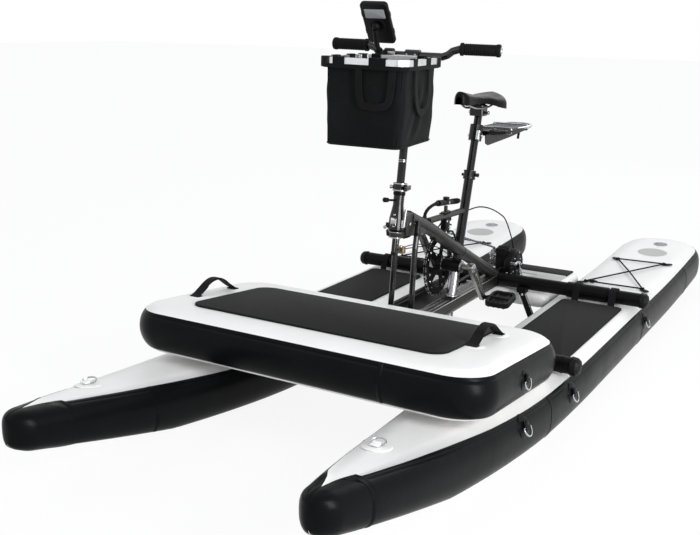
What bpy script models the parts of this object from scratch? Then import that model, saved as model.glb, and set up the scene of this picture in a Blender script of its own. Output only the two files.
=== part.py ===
"""Pedal catamaran with two inflatable floats, an inflatable foredeck and a bicycle frame between them.

Metres, +Z up. The bow points to -Y and the rider's left is +X. Stations along the boat are written
from a zero just behind the front beam and heights from the floats' top, and at() moves them to the
part's own frame, whose origin is the middle of the underside of its box.
"""
import math

import bmesh
import bpy
from mathutils import Matrix, Vector

# The part's own frame
FLOAT_THICK = 0.15
SEAT_GAP = 0.0003
SLIDE_GAP = 0.0007

# Floats
FLOAT_X = 0.396
FLOAT_HALF_WIDTH = 0.175
FLOAT_TIP = -1.312
FLOAT_TAIL = 1.735
FAR_FLOAT_LEAD = 0.044
NOSE_BLUNT = {"inner": 0.169, "outer": 0.231}
NOSE_POWER = {"inner": 0.822, "outer": 0.772}
NOSE_TAPER_END = 0.1
NOSE_CAP = 0.05
NOSE_THICK = 0.096
NOSE_THIN_START = -0.85
WALL_SQUARENESS = 2.7
TAIL_CAP = 0.16
ROCKER_START = -0.25
ROCKER_SHAPE = (0.131, 0.59)
TAIL_RISE_START = 0.9
TAIL_RISE = 0.034
SIDE_STEPS = 7
NOSE_STATIONS = (-1.18, -1.1, -1.0, -0.9, -0.78, -0.66, -0.53, -0.4, -0.3, -0.22, -0.1)
TAIL_STATIONS = (1.1, 1.25, 1.4, 1.5)
MIDSHIP = (FLOAT_TAIL + FLOAT_TIP - FAR_FLOAT_LEAD) / 2

# Foredeck
DECK_HALF_WIDTH = 0.548
DECK_FRONT = -0.81
DECK_REAR = -0.197
DECK_CORNER = 0.11
DECK_THICK = 0.132
DECK_TOP_FRONT = 0.194
DECK_SLOPE = -0.098
DECK_PAD_HALF_WIDTH = 0.385
DECK_PAD_THICK = 0.005
HANDLE_SPOTS = {"left": (0.403, -0.442), "right": (-0.470, -0.492)}
FLOAT_PAD_THICK = 0.005

# Cross beams, keel and rear panel
BEAM_RADIUS = 0.025
FRONT_BEAM_Y = -0.16
REAR_BEAM_Y = 0.622
BEAM_HALF_LENGTH = 0.555
BEAM_CAP_LENGTH = 0.03
REAR_BEAM_Z = 0.031
FRONT_BEAM_Z = BEAM_RADIUS * 1.1 + SEAT_GAP
KEEL_HALF_WIDTH = 0.024
KEEL_TOP = 0.05
KEEL_BOTTOM = 0.008
PANEL_FRONT = 0.603
PANEL_REAR = 1.01
PANEL_HALF_WIDTH = 0.219
PANEL_BOTTOM = -0.056
PANEL_TOP = 0.0
SLOT_HALF_WIDTH = 0.083
SLOT_FRONT = 0.69
SLOT_REAR = 0.865

# Frame tubes
MAIN_TUBE_RADIUS = 0.0215
UPPER_TUBE_RADIUS = 0.0105
SEAT_TUBE_RADIUS = 0.0165
SEAT_POST_RADIUS = 0.0135
FRONT_LEG_RADIUS = 0.009
FRONT_LEG_X = 0.036
GUSSET_OUTLINE = [(-0.172, 0.342), (-0.172, 0.404), (-0.125, 0.409),
                  (-0.03, 0.366), (-0.03, 0.328), (-0.12, 0.335)]

# Seat line: foot on the keel and the post's top under the saddle
SEAT_FOOT = (0.222, 0.041)
SEAT_HEAD = (0.386, 0.657)
SEAT_COLLAR_Z = 0.450
SEAT_LEVER_TILT = math.radians(-12.0)

# Steering line, its rest turn and the handlepost
STEER_FOOT = (-0.206, 0.372)
STEER_LEAN = math.radians(8.5)
STEER_TURN = math.radians(6.3)
POST_RADIUS = 0.0165
STEM_RADIUS = 0.0125
BAR_Z = 0.881
BAR_RISE = 0.024
BAR_HALF_LENGTH = 0.256
BAR_RADIUS = 0.011
GRIP_RADIUS = 0.0165
GRIP_LENGTH = 0.112
GRIP_SWEEP = 0.085
# Reach from the bar's middle and share of its rise, from the grips inwards
BAR_RISE_SHARES = ((0.215, 1.0), (0.18, 1.0), (0.143, 1.0), (0.122, 0.72),
                   (0.108, 0.25), (0.092, 0.0), (0.05, 0.0))
BASKET_Y = -0.366
BASKET_RIM_Z = 0.871
BASKET_RIM = (0.247, 0.268)
BASKET_BASE_Z = 0.65
BASKET_TOP = (0.231, 0.252)
BASKET_BASE = (0.217, 0.262)

# Drive
CRANK_Y = 0.222
CRANK_Z = 0.165
CRANK_LENGTH = 0.165
CRANK_ANGLE = math.radians(-50.0)
CRANK_ARM_X = 0.074
CHAINWHEEL_X = -0.05
CHAINWHEEL_RADIUS = 0.108
CHAINWHEEL_TEETH = 52
GEAR_Y = 0.716
GEAR_Z = 0.068
GEAR_RADIUS = 0.061
SHAFT_Z = 0.098
SPROCKET_RADIUS = 0.024
SPROCKET_TEETH = 11
CHAIN_PITCH = 0.0127
CHAIN_HALF_WIDTH = 0.0042
TOOTH_DEPTH = 0.005
TOOTH_THICK = 0.003
LEG_Y = 0.75
LEG_RADIUS = 0.015
PROP_Y = 0.80
PROP_Z = -0.052
PROP_RADIUS = 0.066
PROP_BLADES = 3

# Station and height along the lift lever's hose and cable
HOSE_ROUTE = ((-0.010, 0.373), (-0.006, 0.384), (0.014, 0.396), (0.05, 0.403), (0.0850, 0.4033))
CABLE_ROUTE = ((0.3215, 0.340), (0.43, 0.337), (0.54, 0.314), (0.65, 0.274), (0.715, 0.236), (0.79, 0.148))

MATERIALS = {
    "hull_pvc": ((0.72, 0.71, 0.70), 0.45, 0.0),
    "eva_foam": ((0.035, 0.036, 0.038), 0.85, 0.0),
    "tube_black": ((0.012, 0.012, 0.013), 0.28, 0.6),
    "polished": ((0.55, 0.55, 0.56), 0.22, 1.0),
    "black_plastic": ((0.015, 0.015, 0.016), 0.45, 0.0),
    "black_rubber": ((0.018, 0.018, 0.018), 0.7, 0.0),
    "bag_cloth": ((0.014, 0.014, 0.015), 0.8, 0.0),
    "rim_aluminium": ((0.62, 0.62, 0.62), 0.35, 1.0),
    "webbing": ((0.02, 0.02, 0.021), 0.75, 0.0),
    "bronze": ((0.20, 0.14, 0.08), 0.5, 0.4),
    "keel_grey": ((0.11, 0.11, 0.105), 0.4, 0.7),
}


# Each moving piece's pivot and axis, noted as it is made
PIVOTS = {}


def at(x, station, height):
    """A point given by its station and height, in the part's own frame."""
    return Vector((x, station - MIDSHIP, height + FLOAT_THICK))


def clear_scene():
    for found in list(bpy.data.objects):
        bpy.data.objects.remove(found, do_unlink=True)


def material(name):
    found = bpy.data.materials.get(name)
    if found:
        return found
    colour, roughness, metallic = MATERIALS[name.split(".")[0]]
    made = bpy.data.materials.new(name)
    made.use_nodes = True
    shader = made.node_tree.nodes["Principled BSDF"]
    shader.inputs["Base Color"].default_value = (*colour, 1.0)
    shader.inputs["Roughness"].default_value = roughness
    shader.inputs["Metallic"].default_value = metallic
    return made


def place(name, bm, kind, sharp=40.0):
    """Turn a bmesh into a named object with its own copy of the material."""
    bmesh.ops.recalc_face_normals(bm, faces=bm.faces)
    mesh = bpy.data.meshes.new(name)
    bm.to_mesh(mesh)
    bm.free()
    mesh.shade_smooth()
    mesh.set_sharp_from_angle(angle=math.radians(sharp))
    made = bpy.data.objects.new(name, mesh)
    bpy.context.scene.collection.objects.link(made)
    own = material(kind).copy()
    own.name = kind + "." + name
    mesh.materials.append(own)
    return made


def skin(rings, closed=False):
    """Skin a list of equal rings into one closed body, or into a closed loop of rings."""
    bm = bmesh.new()
    made = [[bm.verts.new(point) for point in ring] for ring in rings]
    count = len(made[0])
    pairs = list(zip(made[:-1], made[1:]))
    if closed:
        pairs.append((made[-1], made[0]))
    for first, second in pairs:
        for i in range(count):
            j = (i + 1) % count
            bm.faces.new((first[i], first[j], second[j], second[i]))
    if not closed:
        bm.faces.new(made[0][::-1])
        bm.faces.new(made[-1])
    return bm


def steady_hint(directions):
    """The world axis that lies furthest from all the given directions."""
    axes = [Vector((1, 0, 0)), Vector((0, 1, 0)), Vector((0, 0, 1))]
    worst = [max(abs(direction.normalized().dot(axis)) for direction in directions) for axis in axes]
    return axes[worst.index(min(worst))]


def frame_along(direction, hint=None):
    """Two unit vectors square to a direction, the first as near as can be to the hint."""
    direction = direction.normalized()
    hint = hint or steady_hint([direction])
    first = (hint - direction * direction.dot(hint)).normalized()
    return first, direction.cross(first)


def tube_rings(points, radii, sides):
    """Rings square to a path, mitred at its bends."""
    points = [Vector(p) for p in points]
    if not hasattr(radii, "__len__"):
        radii = [radii] * len(points)
    hint = steady_hint([b - a for a, b in zip(points[:-1], points[1:])])
    rings = []
    for i, point in enumerate(points):
        before = (point - points[max(i - 1, 0)]).normalized() if i else None
        after = (points[min(i + 1, len(points) - 1)] - point).normalized() if i < len(points) - 1 else None
        along = (before or after) + (after or before)
        along.normalize()
        first, second = frame_along(along, hint)
        stretch = 1.0
        if before and after:
            stretch = 1.0 / max(along.dot(before), 0.5)
        bend = (after - before) if before and after else Vector((0, 0, 0))
        ring = []
        for k in range(sides):
            angle = 2 * math.pi * k / sides
            spoke = (first * math.cos(angle) + second * math.sin(angle)) * radii[i]
            if bend.length > 1e-6:
                out = bend.normalized()
                spoke += out * spoke.dot(out) * (stretch - 1.0)
            ring.append(point + spoke)
        rings.append(ring)
    return rings


def tube(name, points, radius, kind, sides=12):
    return place(name, skin(tube_rings(points, radius, sides)), kind)


def smooth_path(points, step):
    """A Catmull-Rom curve through hand-placed points, read at even steps."""
    points = [Vector(p) for p in points]
    padded = [points[0] * 2 - points[1]] + points + [points[-1] * 2 - points[-2]]
    out = [points[0]]
    for i in range(1, len(padded) - 2):
        a, b, c, d = padded[i - 1:i + 3]
        pieces = max(1, round((c - b).length / step))
        for k in range(1, pieces + 1):
            t = k / pieces
            out.append(0.5 * ((2 * b) + (c - a) * t + (2 * a - 5 * b + 4 * c - d) * t * t
                              + (3 * b - a - 3 * c + d) * t * t * t))
    return out


def turned(profile, origin, direction, sides=20):
    """Turn a profile of (along, radius) pairs about a line. A profile that starts and ends on the same
    pair of radii above zero closes on itself, which leaves a bore."""
    origin = Vector(origin)
    direction = Vector(direction).normalized()
    first, second = frame_along(direction)
    bore = profile[0][1] > 0 and profile[0] == profile[-1]
    rings = []
    for along, radius in (profile[:-1] if bore else profile):
        ring = []
        for k in range(sides):
            angle = 2 * math.pi * k / sides
            spoke = first * math.cos(angle) + second * math.sin(angle)
            ring.append(origin + direction * along + spoke * radius)
        rings.append(ring)
    return skin(rings, closed=bore)


def extruded(outline, base, axis_u, axis_v, depth):
    """Extrude a plane outline of (u, v) pairs by the depth vector."""
    base, axis_u, axis_v, depth = Vector(base), Vector(axis_u), Vector(axis_v), Vector(depth)
    low = [base + axis_u * u + axis_v * v for u, v in outline]
    return skin([low, [p + depth for p in low]])


def rounded_outline(half_u, half_v, radius, steps=4):
    out = []
    corners = ((half_u - radius, half_v - radius, 0), (radius - half_u, half_v - radius, 90),
               (radius - half_u, radius - half_v, 180), (half_u - radius, radius - half_v, 270))
    for cu, cv, start in corners:
        for k in range(steps + 1):
            angle = math.radians(start + 90 * k / steps)
            out.append((cu + radius * math.cos(angle), cv + radius * math.sin(angle)))
    return out


def block(centre, size, turn=Matrix.Identity(3), radius=0.0, steps=3):
    """A block with its upright edges rounded."""
    outline = rounded_outline(size[0] / 2, size[1] / 2, max(radius, 0.0005), steps if radius else 1)
    centre = Vector(centre)
    low = [centre + turn @ Vector((u, v, -size[2] / 2)) for u, v in outline]
    return skin([low, [p + turn @ Vector((0, 0, size[2])) for p in low]])


def combine(target, tools, how, keep_tools=False):
    """Apply Booleans on the spot, and drop the tools."""
    for tool in tools:
        step = target.modifiers.new(how, "BOOLEAN")
        step.operation = how
        step.solver = "EXACT"
        step.object = tool
    bpy.context.view_layer.update()
    graph = bpy.context.evaluated_depsgraph_get()
    mesh = bpy.data.meshes.new_from_object(target.evaluated_get(graph))
    target.modifiers.clear()
    old = target.data
    target.data = mesh
    bpy.data.meshes.remove(old)
    mesh.shade_smooth()
    mesh.set_sharp_from_angle(angle=math.radians(40))
    if not keep_tools:
        for tool in tools:
            bpy.data.objects.remove(tool, do_unlink=True)
    return target


def joined(name, kind, bodies):
    """Union of overlapping bodies, given as bmeshes."""
    first = place(name, bodies[0], kind)
    tools = [place(name + "_add", body, kind) for body in bodies[1:]]
    return combine(first, tools, "UNION")


def cut(target, *bodies):
    tools = [place(target.name + "_cut", body, "tube_black") for body in bodies]
    return combine(target, tools, "DIFFERENCE")


def rocker(station):
    """Height of the floats' top along the boat."""
    if station < ROCKER_START:
        run = ROCKER_START - station
        return ROCKER_SHAPE[0] * run * run / (run + ROCKER_SHAPE[1])
    if station > TAIL_RISE_START:
        run = (station - TAIL_RISE_START) / (FLOAT_TAIL - TAIL_RISE_START)
        return TAIL_RISE * run * run
    return 0.0


def float_half_width(station, edge):
    """Half the float's width towards its inner or outer edge, which tapers into the blunt nose."""
    share = 1.0
    if station < NOSE_TAPER_END:
        run = (station - FLOAT_TIP) / (NOSE_TAPER_END - FLOAT_TIP)
        blunt = NOSE_BLUNT[edge]
        share = blunt + (1 - blunt) * math.sin(math.pi / 2 * max(run, 0.0) ** NOSE_POWER[edge])
    return FLOAT_HALF_WIDTH * share


def squared_off(value):
    """Bulge a sine or cosine towards the flatter wall of an inflated float."""
    return math.copysign(abs(value) ** (2 / WALL_SQUARENESS), value)


def float_ring(centre_x, lead, station, width_share=1.0, thick_share=1.0):
    """A cross section: flat above and below, with walls that are squarer than a half circle."""
    thick = FLOAT_THICK
    if station < NOSE_THIN_START:
        run = (NOSE_THIN_START - station) / (NOSE_THIN_START - FLOAT_TIP)
        thick -= (FLOAT_THICK - NOSE_THICK) * run
    middle = rocker(station) - thick / 2
    half_thick = thick / 2 * thick_share
    inner = float_half_width(station, "inner")
    outer = float_half_width(station, "outer")
    half_width = (inner + outer) / 2 * width_share
    arc = min(thick / 2, half_width * 0.92)
    flat = half_width - arc
    centre_x += math.copysign((outer - inner) / 2, centre_x)
    ring = []
    for side, start in ((1, -math.pi / 2), (-1, math.pi / 2)):
        for k in range(SIDE_STEPS + 1):
            angle = start + math.pi * k / SIDE_STEPS
            across = arc * squared_off(math.cos(angle))
            rise = half_thick * squared_off(math.sin(angle))
            if k in (0, SIDE_STEPS):
                across = 0.0
            ring.append(at(centre_x + side * flat + across, station - lead, middle + rise))
    return ring


def float_rings(centre_x, lead):
    rings = []
    cap_steps = 5
    for k in range(cap_steps):
        angle = math.pi / 2 * (k + 0.35) / cap_steps
        station = FLOAT_TIP + NOSE_CAP * (1 - math.cos(angle))
        width_share = math.sin(angle) ** 0.8
        thick_share = 0.55 + 0.45 * math.sin(angle)
        rings.append(float_ring(centre_x, lead, station, width_share, thick_share))
    plain = [FLOAT_TIP + NOSE_CAP, *NOSE_STATIONS, NOSE_TAPER_END]
    plain += [TAIL_RISE_START, *TAIL_STATIONS, FLOAT_TAIL - TAIL_CAP]
    for station in plain:
        rings.append(float_ring(centre_x, lead, station))
    for k in range(1, cap_steps + 1):
        angle = math.pi / 2 * (k - 0.15) / cap_steps
        station = FLOAT_TAIL - TAIL_CAP + TAIL_CAP * math.sin(angle)
        width_share = math.cos(angle) ** 0.55
        thick_share = 0.6 + 0.4 * math.cos(angle) ** 0.5
        rings.append(float_ring(centre_x, lead, station, width_share, thick_share))
    return rings


def make_floats():
    for name, side, lead in (("float_left", 1, 0.0), ("float_right", -1, FAR_FLOAT_LEAD)):
        place(name, skin(float_rings(side * FLOAT_X, lead)), "hull_pvc")
        outline = rounded_outline(0.110, 0.353, 0.02, 3)
        base = at(side * FLOAT_X, 0.231, SEAT_GAP)
        pad = extruded(outline, base, (1, 0, 0), (0, 1, 0), (0, 0, FLOAT_PAD_THICK))
        place("float_pad_" + name.split("_")[1], pad, "eva_foam")


def deck_point(x, station, height_from_top):
    """A point of the foredeck, which leans back with the floats' rocker."""
    top = DECK_TOP_FRONT + DECK_SLOPE * (station - DECK_FRONT)
    return at(x, station, top + height_from_top)


def deck_ring(inset, depth):
    middle = (DECK_FRONT + DECK_REAR) / 2
    half = (DECK_REAR - DECK_FRONT) / 2
    outline = rounded_outline(DECK_HALF_WIDTH - inset, half - inset, DECK_CORNER - inset * 0.6, 6)
    return [deck_point(x, middle + y, -depth) for x, y in outline]


def make_deck():
    radius = DECK_THICK / 2
    rings = []
    for k in range(SIDE_STEPS + 1):
        angle = math.pi * k / SIDE_STEPS
        rings.append(deck_ring(radius * (1 - math.sin(angle)) * 0.65, radius * (1 - math.cos(angle))))
    place("foredeck", skin(rings), "hull_pvc")
    pad_middle = -0.5
    outline = rounded_outline(DECK_PAD_HALF_WIDTH, 0.19, 0.07, 5)
    low = [deck_point(x, pad_middle + y, SEAT_GAP) for x, y in outline]
    high = [deck_point(x, pad_middle + y, SEAT_GAP + DECK_PAD_THICK) for x, y in outline]
    place("foredeck_pad", skin([low, high]), "eva_foam")
    for name, (middle_x, middle_y) in HANDLE_SPOTS.items():
        # An arched webbing handle with its two ends sewn flat
        half_length = 0.1
        half_width = 0.0155
        thick = 0.006
        steps = 10
        rings = []
        for k in range(steps + 1):
            along = -half_length + 2 * half_length * k / steps
            rise = 0.041 * math.cos(math.pi / 2 * along / half_length) ** 1.5
            section = ((-half_width, 0), (half_width, 0), (half_width, thick), (-half_width, thick))
            rings.append([deck_point(middle_x + x, middle_y + along, SEAT_GAP + rise + z) for x, z in section])
        place("deck_handle_" + name, skin(rings), "webbing")


def make_rear_panel():
    half = (PANEL_REAR - PANEL_FRONT) / 2
    middle = (PANEL_REAR + PANEL_FRONT) / 2
    radius = (PANEL_TOP - PANEL_BOTTOM) / 2
    rings = []
    steps = 6
    for k in range(steps + 1):
        angle = math.pi * k / steps
        inset = radius * (1 - math.sin(angle)) * 0.6
        outline = rounded_outline(PANEL_HALF_WIDTH - inset, half - inset, 0.03, 3)
        height = PANEL_BOTTOM + radius * (1 - math.cos(angle))
        rings.append([at(x, middle + y, height) for x, y in outline])
    panel = place("rear_panel", skin(rings), "hull_pvc")
    slot_middle = (SLOT_FRONT + SLOT_REAR) / 2
    outline = rounded_outline(SLOT_HALF_WIDTH, (SLOT_REAR - SLOT_FRONT) / 2, 0.03, 3)
    cut(panel, extruded(outline, at(0, slot_middle, -0.1), (1, 0, 0), (0, 1, 0), (0, 0, 0.2)))


def beam_cap(name, side, station, height):
    start = side * (BEAM_HALF_LENGTH + SEAT_GAP)
    profile = [(0.0, BEAM_RADIUS * 1.05), (0.006, BEAM_RADIUS * 1.1), (0.018, BEAM_RADIUS * 1.06),
               (BEAM_CAP_LENGTH - 0.004, BEAM_RADIUS * 0.8), (BEAM_CAP_LENGTH, BEAM_RADIUS * 0.35)]
    place(name, turned(profile, at(start, station, height), (side, 0, 0), 16), "black_plastic")


def make_beams():
    ends = [at(reach, FRONT_BEAM_Y, FRONT_BEAM_Z) for reach in (-BEAM_HALF_LENGTH, BEAM_HALF_LENGTH)]
    tube("front_beam", ends, BEAM_RADIUS, "tube_black", 20)
    ends = [at(reach, REAR_BEAM_Y, REAR_BEAM_Z) for reach in (-BEAM_HALF_LENGTH, BEAM_HALF_LENGTH)]
    rear = tube_rings(ends, BEAM_RADIUS, 20)
    sleeves = []
    for side in (1, -1):
        sleeve_ends = [at(side * 0.29, REAR_BEAM_Y, REAR_BEAM_Z), at(side * 0.44, REAR_BEAM_Y, REAR_BEAM_Z)]
        sleeves.append(skin(tube_rings(sleeve_ends, BEAM_RADIUS + 0.0035, 20)))
    joined("rear_beam", "tube_black", [skin(rear), *sleeves])
    for name, side in (("left", 1), ("right", -1)):
        beam_cap("front_beam_cap_" + name, side, FRONT_BEAM_Y, FRONT_BEAM_Z)
        beam_cap("rear_beam_cap_" + name, side, REAR_BEAM_Y, REAR_BEAM_Z)


def keel_outline():
    """The extruded keel's section: a box with two shallow grooves along each side and one on top."""
    half = KEEL_HALF_WIDTH
    groove = 0.003
    out = []
    for side in (1, -1):
        heights = (KEEL_BOTTOM, 0.014, 0.017, 0.024, 0.027, 0.034, 0.037, KEEL_TOP)
        insets = (0, 0, groove, groove, 0, 0, 0, 0)
        points = [(side * (half - inset), height) for inset, height in zip(insets, heights)]
        out += points if side > 0 else points[::-1]
    return out


def beam_cutter(station, height):
    """A cutter a hair larger than a beam, for what is coped round it."""
    ends = [at(-0.25, station, height), at(0.25, station, height)]
    return skin(tube_rings(ends, BEAM_RADIUS + 2 * SEAT_GAP, 20))


def make_keel():
    front = FRONT_BEAM_Y + BEAM_RADIUS * 0.5
    rear = REAR_BEAM_Y - BEAM_RADIUS * 0.5
    body = extruded(keel_outline(), at(0, front, 0), (1, 0, 0), (0, 0, 1), (0, rear - front, 0))
    shoe = block(at(0, seat_line(KEEL_TOP), KEEL_TOP + 0.0015), (0.044, 0.07, 0.006), radius=0.008)
    # The short stand tube under the keel that the seat tube's line ends in
    stand_top = at(0, 0.226, KEEL_BOTTOM + 0.011)
    stand = rod(stand_top, stand_top - Vector((0, 0, 0.085)), 0.0085, 16)
    keel = joined("keel_beam", "keel_grey", [body, shoe, stand])
    cut(keel, beam_cutter(FRONT_BEAM_Y, FRONT_BEAM_Z), beam_cutter(REAR_BEAM_Y, REAR_BEAM_Z))


def seat_line(height):
    share = (height - SEAT_FOOT[1]) / (SEAT_HEAD[1] - SEAT_FOOT[1])
    return SEAT_FOOT[0] + (SEAT_HEAD[0] - SEAT_FOOT[0]) * share


def seat_axis():
    return Vector((0, SEAT_HEAD[0] - SEAT_FOOT[0], SEAT_HEAD[1] - SEAT_FOOT[1])).normalized()


def rod(start, end, radius, sides=16):
    return skin(tube_rings([start, end], radius, sides))


# The main tube's front run, which the upper tube and the front legs are coped to
MAIN_TUBE_ENDS = (at(0, -0.128, 0.393), at(0, 0.033, 0.327))


def make_frame():
    main_points = [*MAIN_TUBE_ENDS, at(0, 0.284, 0.203), at(0, 0.612, 0.049)]
    seat_cutter_radius = SEAT_TUBE_RADIUS + SEAT_GAP
    low = at(0, seat_line(0.0), 0.0)
    high = at(0, seat_line(0.5), 0.5)
    gusset = extruded(GUSSET_OUTLINE, at(-0.017, 0, 0), (0, 1, 0), (0, 0, 1), (0.034, 0, 0))
    # The seat tube parts the main tube in two, as on a mitred and welded joint
    crossing = main_points[2]
    forward = (main_points[1] - crossing).normalized()
    backward = (main_points[3] - crossing).normalized()
    front = [main_points[0], main_points[1], crossing + forward * 0.004]
    rear = [crossing + backward * 0.0005, main_points[3]]
    body = joined("main_tube_front", "tube_black", [skin(tube_rings(front, MAIN_TUBE_RADIUS, 18)), gusset])
    behind = block(crossing + Vector((0, 0.1, -0.02)), (0.1, 0.2, 0.3))
    cut(body, rod(low, high, seat_cutter_radius), behind)
    body = place("main_tube_rear", skin(tube_rings(rear, MAIN_TUBE_RADIUS, 18)), "tube_black")
    keel_top = block(at(0, 0.5, KEEL_TOP + SEAT_GAP - 0.1), (0.1, 0.3, 0.2))
    cut(body, rod(low, high, seat_cutter_radius), beam_cutter(REAR_BEAM_Y, REAR_BEAM_Z), keel_top)
    upper = [at(0, 0.02, 0.356), at(0, 0.2915, 0.3465)]
    pedestal = at(0, 0.15, 0.3622)
    pedestal_foot = block(pedestal, (0.015, 0.044, 0.01))
    pedestal_post = block(pedestal + Vector((0, 0, 0.010)), (0.010, 0.009, 0.026))
    body = joined("upper_tube", "tube_black", [rod(*upper, UPPER_TUBE_RADIUS), pedestal_foot, pedestal_post])
    main_cutter = skin(tube_rings(front, MAIN_TUBE_RADIUS + SEAT_GAP * 1.5, 18))
    cut(body, rod(low, high, seat_cutter_radius), main_cutter)


def make_seat_tube():
    axis = seat_axis()
    foot_height = KEEL_TOP + 0.0095
    foot = at(0, seat_line(foot_height), foot_height)
    length = (at(0, seat_line(SEAT_COLLAR_Z), SEAT_COLLAR_Z) - foot).length
    bore = SEAT_POST_RADIUS + SEAT_GAP
    profile = sleeve_profile(0.0, length, bore, SEAT_TUBE_RADIUS)
    place("seat_tube", turned(profile, foot, axis, 16), "tube_black")
    collar_start = length + SEAT_GAP
    profile = sleeve_profile(collar_start, collar_start + 0.03, bore, 0.021)
    collar = place("seat_collar", turned(profile, foot, axis, 16), "polished")
    slot = block(foot + axis * (collar_start + 0.015) + Vector((0, 0.02, 0)), (0.004, 0.02, 0.06))
    cut(collar, slot)
    lever_at = foot + axis * (collar_start + 0.015) + Vector((-0.0256, 0, 0))
    lever_turn = Matrix.Rotation(SEAT_LEVER_TILT, 3, "X")
    lever_middle = lever_at + lever_turn @ Vector((0, 0.021, 0))
    lever = block(lever_middle, (0.008, 0.05, 0.009), lever_turn, radius=0.0039)
    place("seat_lever", lever, "polished")
    PIVOTS["seat_lever"] = (lever_at, lever_turn @ Vector((0, 0, 1)))


def make_front_legs():
    beam_top = FRONT_BEAM_Z + BEAM_RADIUS
    for name, side in (("left", 1), ("right", -1)):
        x = side * FRONT_LEG_X
        route = [at(side * 0.026, -0.108, 0.378), at(side * 0.032, -0.124, 0.343)]
        route += [at(side * 0.0335, -0.139, 0.30), at(x, -0.164, beam_top - 0.006)]
        body = tube("front_leg_" + name, smooth_path(route, 0.03), FRONT_LEG_RADIUS, "tube_black", 12)
        main_tube = rod(*MAIN_TUBE_ENDS, MAIN_TUBE_RADIUS + 2 * SEAT_GAP, 18)
        cut(body, beam_cutter(FRONT_BEAM_Y, FRONT_BEAM_Z), main_tube)


def make_stays():
    for name, side in (("left", 1), ("right", -1)):
        start = at(side * 0.128, 0.58, 0.008)
        end = at(side * 0.182, 0.58, -0.105)
        along = (end - start).normalized()
        across = Vector((along.z, 0, -along.x))
        base = start + Vector((0, -0.005, 0))
        length = (end - start).length
        outline = [(0.0, -0.012), (length, -0.012), (length, 0.012), (0.0, 0.012)]
        bar = extruded(outline, base, along, across, (0, 0.007, 0))
        clamp = block(at(side * 0.126, 0.594, 0.011), (0.036, 0.03, 0.02))
        stay = joined("beam_stay_" + name, "tube_black", [bar, clamp])
        cut(stay, beam_cutter(REAR_BEAM_Y, REAR_BEAM_Z))


def steer_axis():
    return Vector((0, math.sin(STEER_LEAN), math.cos(STEER_LEAN)))


def steer_point(along):
    return at(0, *STEER_FOOT) + steer_axis() * along


def turn_way(direction):
    return Matrix.Rotation(STEER_TURN, 3, steer_axis()) @ direction


def turn_point(point):
    foot = at(0, *STEER_FOOT)
    return foot + turn_way(point - foot)


def sleeve_profile(low, high, bore, radius):
    """The closed section of a plain sleeve, for turned()."""
    return [(low, bore), (low, radius), (high, radius), (high, bore), (low, bore)]


def bar_cutter(bar_centre, reach, radius):
    ends = [bar_centre + Vector((way * reach, 0, 0)) for way in (-1, 1)]
    return steered(rod(*ends, radius))


def steered(bm):
    """Turn a body about the steering line to the rest turn."""
    for vert in bm.verts:
        vert.co = turn_point(vert.co)
    return bm


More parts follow.
